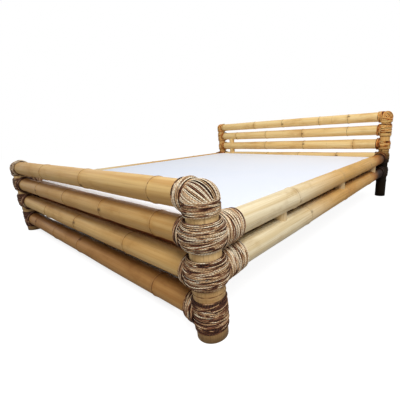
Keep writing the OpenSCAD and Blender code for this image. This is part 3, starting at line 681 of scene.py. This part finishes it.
def ball(bundle, low, high, neck, belly, lobes, width=0.0035, thick=0.0038, over=11, shade=0.0):
    """Turns round a post that swell to a belly, with lobes towards the rails.

    A lobe is its direction, its height and its size."""
    mid, half = (low + high) / 2, (high - low) / 2
    packing, main, last = BALL_DEPTHS
    margin = 0.004

    def surface(a, z, drop):
        t = np.clip(np.abs(z - mid) / half, 0, 1)
        r = neck + (belly - neck) * (1 - t ** BALL_FULLNESS)
        for direction, height, size in lobes:
            round_it = hump(half_turn(a - direction), size, LOBE_REACH[0])
            r = r + round_it * hump(z - height, 1.0, LOBE_REACH[1])
        return r - drop

    turns = (high - low) / (width * BALL_PITCH)
    bundle.sleeve(ORIGIN, UP, lambda a, z: surface(a, z, packing), low + 0.001, high - 0.001)
    bundle.helix(ORIGIN, UP, turns, lambda a, z: surface(a, z, main),
                 lambda s: low + width / 2 + s * (high - low - width), width, thick, tilt=0.0008, shade=shade)
    for k in range(over):
        tilt = bundle.rng.uniform(0.002, 0.10 * (high - low))
        middle = low + margin + tilt + (high - low - 2 * margin - 2 * tilt) * (k + 0.5) / over
        bundle.helix(ORIGIN, UP, 1.3, lambda a, z: surface(a, z, last),
                     lambda s, p=middle: p + (s - 0.5) * SLANT, width * 0.8, thick * 0.8,
                     tilt=tilt, shade=shade + 0.12)


def collar(bundle, lateral, base, profile, width=0.005, thick=0.0040, lean=0.004, over=2, shade=0.0):
    """Turns round a rail; profile lists places along it and the winding's radius at each."""
    places, radii = zip(*profile)
    start, end = places[0], places[-1]
    packing, main, last = COLLAR_DEPTHS
    margin = 0.003

    def surface(s, drop):
        return np.interp(s, places, radii) - drop

    turns = max((end - start) / (width * COLLAR_PITCH), 1.5)
    bundle.sleeve(base, lateral, lambda a, s: surface(s, packing), start, end - 0.001)
    bundle.helix(base, lateral, turns, lambda a, s: surface(s, main),
                 lambda s: start + s * (end - start - width / 2), width, thick, tilt=lean, shade=shade)
    for k in range(over):
        middle = end - margin - k * (end - start) / (over + 0.5)
        bundle.helix(base, lateral, 1.8, lambda a, s: surface(s, last),
                     lambda s, p=middle: p - s * SLANT, width * 0.9, thick, tilt=lean * 1.2, shade=shade)


def dome(bundle, height, radius, rail_z, rail_r, hoop, collar_end, over=3, shade=0.4):
    """A post's cap: strands fan from a hoop on the rail's side down to the post, over a round packing."""
    width, thick = 0.0034, 0.0036
    rows, count = 12, 48
    inner = radius - DOME_DEPTHS[0]
    a = circle(count)
    rings = [np.stack([inner * np.cos(t) * np.cos(a), inner * np.cos(t) * np.sin(a),
                       np.full(count, height + inner * np.sin(t))], -1)
             for t in np.linspace(0, math.pi / 2, rows)]
    packing = np.concatenate(rings)
    # the cap's packing is dark: painted shade between its strands
    bundle.add(packing, tube(rows, count), packing, 0.0, 1.0)
    ring = math.sqrt(radius ** 2 - hoop ** 2)
    reach = math.pi - math.acos(hoop / radius)
    runs = int(2 * reach * radius / (width * DOME_PITCH))
    t = np.linspace(0, 1, DOME_STEPS)[:, None]
    for k in range(runs):
        u = (k + 0.5) / runs
        rise = math.pi * (u - 0.5) + bundle.rng.normal(0, 0.02)
        begin = np.array([-hoop, ring * math.sin(rise), ring * math.cos(rise)])
        turn = reach * (2 * u - 1) + DOME_LAY + bundle.rng.normal(0, 0.03)
        end = np.array([radius * math.cos(turn), radius * math.sin(turn), DOME_BRIM])
        angle = math.acos(np.clip(begin @ end / radius ** 2, -1, 1))
        path = (np.sin((1 - t) * angle) * begin + np.sin(t * angle) * end) / math.sin(angle)
        lift = radius - DOME_DEPTHS[1] + bundle.rng.normal(0, 0.0004)
        path = unit(path) * lift
        # every third strand is a dark one: painted shade standing for the shadowed gaps between strands
        tones = np.maximum(blend_tones(bundle.rng, DOME_STEPS, 2, shade), 0.66)
        if k % 3 == 1:
            tones = blend_tones(bundle.rng, DOME_STEPS, 3, shade) * 0.4 + 0.04
        bundle.strand(path + [0, 0, height], path, width, thick, tones)
    profile = [(hoop - 0.006, ring + 0.001), (hoop + 0.003, radius - 0.002), (hoop + 0.012, radius - 0.004),
               (collar_end, rail_r + 0.0046)]
    collar(bundle, CROSS, np.array([0.0, 0.0, rail_z]), profile, width=0.0056, over=over, shade=0.10)


# The frame: places from the CAD, in metres

FOOT_Y = centre("foot_rail_2")[1]
HEAD_Y = centre("head_rail_2")[1]
POST_X = abs(centre("foot_post_right")[0])
SIDE_X = abs(centre("side_rail_upper_right")[0])
FOOT_Z = [centre(f"foot_rail_{i}")[2] for i in (1, 2, 3, 4)]
HEAD_Z = [centre(f"head_rail_{i}")[2] for i in (1, 2, 3, 4, 5)]
SIDE_Z = [centre("side_rail_upper_right")[2], centre("side_rail_lower_right")[2]]
INSET = POST_X - SIDE_X

# the top rails stand out over the posts, the others end inside the windings
TOP_RAIL_REACH = POST_X + 0.012
FOOT_RAIL_REACH = POST_X - 0.030
HEAD_RAIL_REACH = POST_X - 0.028
SIDE_RAIL_R = 0.0452
SIDE_RAIL_TAPER = 0.0046
SIDE_RAIL_GAP = 0.002
POST_TAPER = 0.0024
SIDE_RAIL_JOINTS = {"upper": [0.534, 1.095, 1.656], "lower": [0.660, 1.195, 1.730]}
# how strong the painted cast shadow on the lower foot rails is
RAIL_SHADOW = 0.85
CANE_SEEDS = {"foot_rail": 11, "head_rail": 31, "side_rail": 51, "post": 71}

# radius, joints from the middle, material and tone
FOOT_RAILS = [
    (0.045, [-0.333, 0.222, 0.765], TAN, 0.15),
    (0.046, [-0.509, -0.049, 0.372, 0.753], TAN, 0.5),
    (0.046, [-0.424, 0.031, 0.529], TAN, 0.0),
    (0.046, [-0.737, -0.375, -0.013, 0.700], ORANGE, 0.5),
]
# radius and joints from the middle
HEAD_RAILS = [
    (0.040, [-0.415, -0.041, 0.374, 0.651]),
    (0.042, [-0.695, -0.256, 0.192, 0.649]),
    (0.043, [-0.268, 0.207, 0.709]),
    (0.043, [-0.248, 0.150, 0.556]),
    (0.043, [-0.480, 0.040, 0.500]),
]
# place, radius, joints from the floor, material and tone
POSTS = {
    "foot": (FOOT_Y, 0.0508, [0.166], POST, (0.95, 0.0, 0.0)),
    "head": (HEAD_Y, 0.0405, [0.140, 0.396], HEAD_POST, 0.4),
}


def foot_rails():
    """The top rail lies over the posts; the lower ones get a painted shadow along their upper sides."""
    for i, (radius, joints, material, tone) in enumerate(FOOT_RAILS):
        reach = TOP_RAIL_REACH if i == 0 else FOOT_RAIL_REACH
        culm(f"foot_rail_{i + 1}", (-reach, FOOT_Y, FOOT_Z[i]), (reach, FOOT_Y, FOOT_Z[i]), radius,
             [j + reach for j in joints], material, CANE_SEEDS["foot_rail"] + i, tone,
             shadow_weight=RAIL_SHADOW * (i > 0))


def head_rails():
    """The top rail lies over the posts; the lowest is hidden behind the mattress."""
    for i, (radius, joints) in enumerate(HEAD_RAILS):
        reach = TOP_RAIL_REACH if i == 0 else HEAD_RAIL_REACH
        culm(f"head_rail_{i + 1}", (-reach, HEAD_Y, HEAD_Z[i]), (reach, HEAD_Y, HEAD_Z[i]), radius,
             [j + reach for j in joints], GOLD, CANE_SEEDS["head_rail"] + i)


def side_rails(side, sign):
    """The two rails of one side, golden towards the head; the right ones darken to black at its post, a
    painted shadow.
    """
    for k, (level, joints) in enumerate(SIDE_RAIL_JOINTS.items()):
        node = f"side_rail_{level}_{side}"
        low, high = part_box(node)
        x, z = sign * SIDE_X, SIDE_Z[k]
        # far-end tones above 1 turn the ends toasted brown and black, most on the right: painted shadow by
        # the head post
        tone = (0.15 * (1 - k), 0.95 + 0.25 * k, (2.4 if sign > 0 else 1.0) + 0.7 * k)
        culm(node, (x, low[1] + SIDE_RAIL_GAP, z), (x, high[1] - SIDE_RAIL_GAP, z), SIDE_RAIL_R,
             [FOOT_Y + j - low[1] for j in joints], PALE,
             CANE_SEEDS["side_rail"] + 2 * k + (sign > 0), tone, bow=0.0015, taper=SIDE_RAIL_TAPER)


def posts(side, sign):
    """The foot and the head post of one side, from the floor up."""
    for k, (end, (y, radius, joints, material, tone)) in enumerate(POSTS.items()):
        node = f"{end}_post_{side}"
        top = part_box(node)[1][2]
        culm(node, (sign * POST_X, y, 0.0), (sign * POST_X, y, top), radius, joints, material,
             CANE_SEEDS["post"] + (sign > 0) + 2 * k, tone, bow=0.0005, taper=POST_TAPER)


SPACER_PLACES = (0.450, 1.155, 1.860)
SPACER_SEATS = (0.0464, 0.0448, 0.0432)
SPACER_R = 0.028
HEAD_SPACER_INSET = 0.170
HEAD_SPACER_R = 0.030


def side_spacers(side, sign):
    """Short canes between the two rails of one side, on seats that follow the rails' taper."""
    spots = [(sign * SIDE_X, FOOT_Y + d) for d in SPACER_PLACES]
    seats = [((SIDE_Z[1], r), (SIDE_Z[0], r)) for r in SPACER_SEATS]
    saddles(f"side_spacers_{side}", spots, SPACER_R, "x", seats, PALE)


def head_spacers():
    """Two short canes near the left post, one over the other."""
    spots = [(-POST_X + HEAD_SPACER_INSET, HEAD_Y)] * 2
    seats = [((HEAD_Z[i + 1], HEAD_RAILS[i + 1][0]), (HEAD_Z[i], HEAD_RAILS[i][0])) for i in (1, 2)]
    saddles("head_spacers", spots, HEAD_SPACER_R, "y", seats, GOLD)


# The lashings: heights are above the floor, a profile is along its rail from the post's axis

INWARD = math.pi
# a cap is its height and radius, then its hoop's place on the rail and its collar's end
FOOT_CAP = (0.460, 0.0580)
FOOT_CAP_REACH = (0.030, 0.070)
HEAD_CAP = (0.683, 0.0485)
HEAD_CAP_REACH = (0.024, 0.060)
# the radius of a band at its ends and in its middle
FOOT_CAP_GIRTH = (0.0556, 0.0578)
FOOT_BAND_GIRTH = (0.0545, 0.0562)
HEAD_CAP_GIRTH = (0.0450, 0.0475)
HEAD_BAND_GIRTH = (0.0460, 0.0480)
FOOT_LOBE, BAND_LOBE, HEAD_LOBE = 0.012, 0.016, 0.004
FOOT_CAP_BAND = (0.414, 0.470)
FOOT_BALLS = [(0.308, 0.399), (0.184, 0.284)]
FOOT_BAND = (0.032, 0.148)
FOOT_NECK = 0.0560
FOOT_BALL_COLLAR = [(0.046, 0.061), (0.058, 0.0565), (0.082, 0.0515)]
FOOT_BAND_COLLAR = [(0.030, 0.061), (0.056, 0.0570), (0.078, 0.0515)]
HEAD_CAP_BAND = (0.634, 0.690)
HEAD_BANDS = [(0.520, 0.626), (0.412, 0.486), (0.299, 0.380), (0.175, 0.262)]
HEAD_COLLAR = [(0.030, 0.0500), (0.064, 0.0475)]
HEAD_SIDE_COLLAR = [(0.026, 0.0360), (0.040, 0.0525), (0.064, 0.0530), (0.112, 0.0475)]
HEAD_STRAND = 0.0060
# seed, painted shade and belly of each side's foot lashings: the far ones are darker, which is painted shade,
# and slimmer
LASHINGS = {"left": (200, -0.42, 0.0625), "right": (300, 0.0, 0.0708)}


def corner(sign, y, toward):
    """The matrix from a corner's own frame to the bed's: cross rail along -X, side rail along +Y."""
    return Matrix.Translation((sign * POST_X, y, 0)) @ Matrix.Diagonal((sign, toward, 1, 1))


def place(bundle, name, matrix, material):
    """A corner's bundle as a piece of the bed."""
    m = np.array(matrix)
    verts = np.concatenate(bundle.verts) @ m[:3, :3].T + m[:3, 3]
    attributes = {key: np.concatenate(getattr(bundle, key)) for key in ("rest", "tint", "edge", "twist")}
    attributes["height"] = leg_shade_height(verts)
    return build("strands_" + name, verts, bundle.faces, attributes, material, [name])


def foot_lashings(side, sign):
    """A cap, two balls and a band, from the top down."""
    seed, painted_corner_shade, belly = LASHINGS[side]
    matrix = corner(sign, FOOT_Y, 1)
    # the shades step down from the cap's dome to the band: painted shade, darker lower down
    cap = Bundle(seed + 1)
    ball(cap, *FOOT_CAP_BAND, *FOOT_CAP_GIRTH, [], over=4, shade=painted_corner_shade - 0.08)
    dome(cap, *FOOT_CAP, FOOT_Z[0], FOOT_RAILS[0][0], *FOOT_CAP_REACH, shade=painted_corner_shade + 0.46)
    place(cap, f"foot_lashing_{side}_1", matrix, RATTAN)
    for k, (low, high) in enumerate(FOOT_BALLS, start=1):
        b = Bundle(seed + 1 + k)
        ball(b, low, high, FOOT_NECK, belly, [(INWARD, FOOT_Z[k], FOOT_LOBE)], shade=painted_corner_shade + 0.10 - 0.14 * k)
        collar(b, CROSS, np.array([0, 0, FOOT_Z[k]]), FOOT_BALL_COLLAR, width=0.0042, lean=0.006, over=4,
               shade=painted_corner_shade - 0.12)
        on_side_rail = [(0.050, 0.0585), (0.110, 0.0560), (0.140 + 0.008 * k, 0.0520)]
        collar(b, SIDE, np.array([-INSET, 0, SIDE_Z[k - 1]]), on_side_rail, width=0.0042, lean=0.005, over=9,
               shade=painted_corner_shade + 0.10)
        place(b, f"foot_lashing_{side}_{k + 1}", matrix, RATTAN)
    band = Bundle(seed + 4)
    ball(band, *FOOT_BAND, *FOOT_BAND_GIRTH, [(INWARD, FOOT_Z[3], BAND_LOBE)], shade=painted_corner_shade - 0.42)
    collar(band, CROSS, np.array([0, 0, FOOT_Z[3]]), FOOT_BAND_COLLAR, width=0.0046, lean=0.006, over=3,
           shade=painted_corner_shade - 0.16)
    place(band, f"foot_lashing_{side}_4", matrix, RATTAN)


def head_lashings(side, sign):
    """A cap and four bands, the lower two with a collar on a side rail as well."""
    seed = LASHINGS[side][0] + 11
    matrix = corner(sign, HEAD_Y, -1)
    cap = Bundle(seed)
    ball(cap, *HEAD_CAP_BAND, *HEAD_CAP_GIRTH, [], width=HEAD_STRAND, over=4, shade=0.18)
    dome(cap, *HEAD_CAP, HEAD_Z[0], HEAD_RAILS[0][0], *HEAD_CAP_REACH, over=2)
    place(cap, f"head_lashing_{side}_1", matrix, HEAD_RATTAN)
    for k, (low, high) in enumerate(HEAD_BANDS, start=1):
        b = Bundle(seed + k)
        ball(b, low, high, *HEAD_BAND_GIRTH, [(INWARD, HEAD_Z[k], HEAD_LOBE)], width=HEAD_STRAND, over=6,
             shade=0.20)
        collar(b, CROSS, np.array([0, 0, HEAD_Z[k]]), HEAD_COLLAR, shade=-0.15)
        if k > 2:
            collar(b, SIDE, np.array([-INSET, 0, SIDE_Z[k - 3]]), HEAD_SIDE_COLLAR, over=3, shade=-0.2)
        place(b, f"head_lashing_{side}_{k + 1}", matrix, HEAD_RATTAN)


# The base, whose CAD shapes show as they are

def dress(nodes, material):
    """The material on every slot of the given CAD nodes."""
    for name in nodes:
        obj = NODES[name]
        if not obj.material_slots:
            obj.data.materials.append(material)
        for item in obj.material_slots:
            item.material = material


# The mattress

MATTRESS_THICK = 0.120
MATTRESS_CORNER_R = 0.060
EDGE_R = 0.024
CROWN = 0.0064
FULLER_LEFT = 0.011
WAIST = 0.0035
OUTLINE_STEPS = 600
BORDER_STEPS = 26
# shares of the border's height steps at which the lower edge ends and the upper one starts
EDGE_ENDS, EDGE_STARTS = 0.22, 0.72
TOP_RINGS = (0.05, 0.09, 0.15, 0.23, 0.33, 0.45, 0.58, 0.72, 0.85, 0.95)
PIPING = 0.005
PIPING_OUT = 0.0004
SWAY = 0.0006
DIPS = 0.0007


def rounded_outline(half):
    """The mattress in plan, evenly spaced along its edge, and the direction inwards at each point."""
    w, l = half[0] - MATTRESS_CORNER_R, half[1] - MATTRESS_CORNER_R
    line = []
    for x, y, start in ((w, l, 0), (-w, l, 90), (-w, -l, 180), (w, -l, 270)):
        for degrees in np.linspace(0, 90, 9):
            t = math.radians(start + degrees)
            line.append((x + MATTRESS_CORNER_R * math.cos(t), y + MATTRESS_CORNER_R * math.sin(t)))
    line = np.array(line + line[:1])
    run = np.concatenate([[0], np.cumsum(np.linalg.norm(np.diff(line, axis=0), axis=1))])
    t = np.linspace(0, run[-1], OUTLINE_STEPS + 1)[:-1]
    outline = np.stack([np.interp(t, run, line[:, 0]), np.interp(t, run, line[:, 1])], -1)
    inward = -unit(outline - np.clip(outline, [-w, -l], [w, l]))
    return t, outline, inward


def border_rings():
    """The inset and the height of each ring up the border: round edges and sides drawn in a little."""
    rings = []
    for a in np.arange(BORDER_STEPS + 1) / BORDER_STEPS:
        if a < EDGE_ENDS:
            q = a / EDGE_ENDS * math.pi / 2
            rings.append((EDGE_R * (1 - math.sin(q)), EDGE_R * (1 - math.cos(q))))
        elif a < EDGE_STARTS:
            q = (a - EDGE_ENDS) / (EDGE_STARTS - EDGE_ENDS)
            rings.append((WAIST * math.sin(math.pi * q) ** 0.8, EDGE_R + (MATTRESS_THICK - 2 * EDGE_R) * q))
        else:
            q = (a - EDGE_STARTS) / (1 - EDGE_STARTS) * math.pi / 2
            rings.append((EDGE_R * (1 - math.cos(q)), MATTRESS_THICK - EDGE_R * (1 - math.sin(q))))
    return rings


def mattress():
    """A firm mattress: soft edges, sides drawn in a little, a low crown and a piped seam."""
    low, high = (np.array(c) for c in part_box("mattress"))
    mid, half = (low + high) / 2, (high - low) / 2
    deck = low[2]
    t, outline, inward = rounded_outline(half)
    n = len(outline)

    def settled(points):
        """Points of the mattress, with the filling a little fuller towards the left side."""
        rise = FULLER_LEFT * (mid[0] - points[:, 0]) / half[0] * (points[:, 2] - deck) / MATTRESS_THICK
        return points + np.column_stack([np.zeros((len(points), 2)), rise])

    rng = np.random.default_rng(5)
    sway = sum(rng.normal() * SWAY * np.sin(t * f + rng.uniform(0, PHASES)) for f in (3, 7, 13, 21))
    verts = []
    for inset, z in border_rings():
        on_the_side = np.abs(z / MATTRESS_THICK - 0.5) < 0.4
        plan = outline + inward * inset - inward * on_the_side * sway[:, None]
        verts.append(np.column_stack([plan + mid[:2], np.full(n, z + deck)]))
    for share in TOP_RINGS:
        scale = 1 - share * 0.98
        plan = (outline + inward * EDGE_R) * scale
        u = np.clip(np.abs(plan) / half[:2], 0, 1)
        height = MATTRESS_THICK + CROWN * (1 - u[:, 0] ** 3) * (1 - u[:, 1] ** 3)
        dips = DIPS * np.sin(plan[:, 0] * 9 + 1) * np.sin(plan[:, 1] * 7)
        verts.append(np.column_stack([plan + mid[:2], height + dips + deck]))
    rows = len(verts)
    verts += [[[mid[0], mid[1], deck + MATTRESS_THICK + CROWN]], [[mid[0], mid[1], deck]]]
    top, bottom = rows * n, rows * n + 1
    faces = tube(rows, n)
    faces += [((rows - 1) * n + k, (rows - 1) * n + (k + 1) % n, top) for k in range(n)]
    faces += [((k + 1) % n, k, bottom) for k in range(n)]
    verts = settled(np.concatenate(verts))
    body = build("mattress_form", verts, faces, {}, COTTON, ["mattress"], body="mattress")

    seam = outline + inward * (EDGE_R * 0.12 - PIPING_OUT) + mid[:2]
    for name, z, lean in (("upper", MATTRESS_THICK - EDGE_R * 0.45, 0.6), ("lower", EDGE_R * 0.45, -0.6)):
        path = np.column_stack([seam, np.full(n, deck + z)])
        path = settled(np.concatenate([path, path[:1]]))
        out = np.column_stack([-inward, np.full(n, lean)])
        out = np.concatenate([out, out[:1]])
        piping = Bundle(1)
        piping.strand(path + out * PIPING_OUT, out, PIPING, PIPING, 0.9)
        build(f"mattress_piping_{name}", np.concatenate(piping.verts), piping.faces, {}, COTTON,
              [], body="mattress")


# Floor, light and camera

FLOOR_HALF = 14.0
FLOOR_Z = -0.0006
# the floor glows white to the camera outside the bed's own shadow
GLOW = 1.26
GLOW_SHARE = 0.72
GLOW_MIDDLE_X = -0.19
GLOW_EDGE_X = (0.82, 0.96)
GLOW_EDGE_Y = (HEAD_Y - 0.12, HEAD_Y)
WORLD_TINT = (0.97, 0.98, 1.0, 1)
WORLD_LIGHT = 0.42
WHITE = (1, 1, 1, 1)
LENS = 24.34
SENSOR = 36.0
SHIFT = (-0.0982, 0.0232)
YAW, PITCH, ROLL = math.radians(40.388), math.radians(16.188), math.radians(-3.254)
CAMERA_X, CAMERA_BEFORE_FOOT, CAMERA_Z = 1.53716, 0.50167, 0.63891


def floor():
    """White to the camera round the bed, plain and shaded below it."""
    mesh = bpy.data.meshes.new("floor")
    s, z = FLOOR_HALF, FLOOR_Z
    mesh.from_pydata([(-s, -s, z), (s, -s, z), (s, s, z), (-s, s, z)], [], [(0, 1, 2, 3)])
    obj = add("floor", mesh)
    t = Tree("floor_white")
    seen = t.nodes.new("ShaderNodeLightPath").outputs["Is Camera Ray"]
    place = t.split(t.position())
    beside = t.remap(t.size(t.plus(place["X"], -GLOW_MIDDLE_X)), *GLOW_EDGE_X, 0.0, GLOW_SHARE)
    before = t.remap(t.size(place["Y"]), *GLOW_EDGE_Y, 0.0, GLOW_SHARE)
    t.set(base_color=t.cover((0.42, 0.40, 0.38, 1), (0.88, 0.88, 0.88, 1), seen))
    t.set(roughness=1.0, specular_ior_level=0.0)
    glow = t.nodes.new("ShaderNodeEmission")
    glow.inputs["Color"].default_value = WHITE
    glow.inputs["Strength"].default_value = GLOW
    mix = t.nodes.new("ShaderNodeMixShader")
    t.link(t.times(seen, t.math("MAXIMUM", beside, before)), mix.inputs[0])
    t.link(t.shader.outputs[0], mix.inputs[1])
    t.link(glow.outputs[0], mix.inputs[2])
    t.link(mix.outputs[0], t.out.inputs[0])
    mesh.materials.append(t.material)


def world():
    """White to camera, glossy and transmission rays, and a dimmer light for the rest."""
    w = bpy.data.worlds.new("studio")
    bpy.context.scene.world = w
    w.use_nodes = True
    nodes, links = w.node_tree.nodes, w.node_tree.links
    nodes.clear()
    path = nodes.new("ShaderNodeLightPath")
    seen = path.outputs["Is Camera Ray"]
    for kind in ("Is Glossy Ray", "Is Transmission Ray"):
        node = nodes.new("ShaderNodeMath")
        node.operation = "MAXIMUM"
        links.new(seen, node.inputs[0])
        links.new(path.outputs[kind], node.inputs[1])
        seen = node.outputs[0]
    mix = nodes.new("ShaderNodeMixShader")
    links.new(seen, mix.inputs[0])
    for socket, colour, strength in ((mix.inputs[1], WORLD_TINT, WORLD_LIGHT), (mix.inputs[2], WHITE, 1.0)):
        node = nodes.new("ShaderNodeBackground")
        node.inputs["Color"].default_value = colour
        node.inputs["Strength"].default_value = strength
        links.new(node.outputs[0], socket)
    links.new(mix.outputs[0], nodes.new("ShaderNodeOutputWorld").inputs[0])


# place, target, size and power
LAMPS = {
    "key": ((2.8, -2.0, 3.5), (0.6, -0.4, 0.3), 1.8, 125),
    "top": ((-0.1, 0.7, 3.8), (0, 0.2, 0.3), 2.4, 32),
}


def lamp(name, where, target, size, power):
    """A square area lamp that points at its target."""
    data = bpy.data.lights.new(name, "AREA")
    data.size = size
    data.energy = power
    obj = add(name, data)
    obj.location = where
    obj.rotation_euler = (Vector(target) - Vector(where)).to_track_quat("-Z", "Y").to_euler()


def camera():
    """The photograph's camera, before the near foot corner."""
    data = bpy.data.cameras.new("camera")
    data.sensor_width = SENSOR
    data.lens = LENS
    data.shift_x, data.shift_y = SHIFT
    data.clip_start, data.clip_end = 0.05, 60.0
    look = Vector((-math.sin(YAW) * math.cos(PITCH), math.cos(YAW) * math.cos(PITCH), -math.sin(PITCH)))
    flat = Vector((math.cos(YAW), math.sin(YAW), 0))
    rise = flat.cross(look)
    right = flat * math.cos(ROLL) + rise * math.sin(ROLL)
    up = rise * math.cos(ROLL) - flat * math.sin(ROLL)
    where = Vector((CAMERA_X, FOOT_Y - CAMERA_BEFORE_FOOT, CAMERA_Z))
    rows = [(right[i], up[i], -look[i], where[i]) for i in range(3)]
    obj = add("camera", data)
    obj.matrix_world = Matrix(rows + [(0, 0, 0, 1)])
    bpy.context.scene.camera = obj


foot_rails()
head_rails()
for side, sign in SIDES:
    side_rails(side, sign)
    posts(side, sign)
for side, sign in SIDES:
    side_spacers(side, sign)
head_spacers()
for side, sign in SIDES:
    foot_lashings(side, sign)
    head_lashings(side, sign)
dress(["slats", "foot_rail_plugs", "head_rail_plugs", "foot_rail_pegs", "head_rail_pegs"], PINE[0])
dress(["ledger_left", "ledger_right", "centre_beam", "side_rail_plugs", "side_rail_pegs"], PINE[1])
dress(["centre_legs", "post_plugs", "post_pegs"], PINE[2])
dress(["foot_stop_board", "head_stop_board"], BROWN)
dress(["ledger_screws", "ledger_washers"], ZINC)
mattress()
floor()
world()
for name, values in LAMPS.items():
    lamp(name, *values)
camera()
bpy.context.scene.view_settings.view_transform = "Standard"
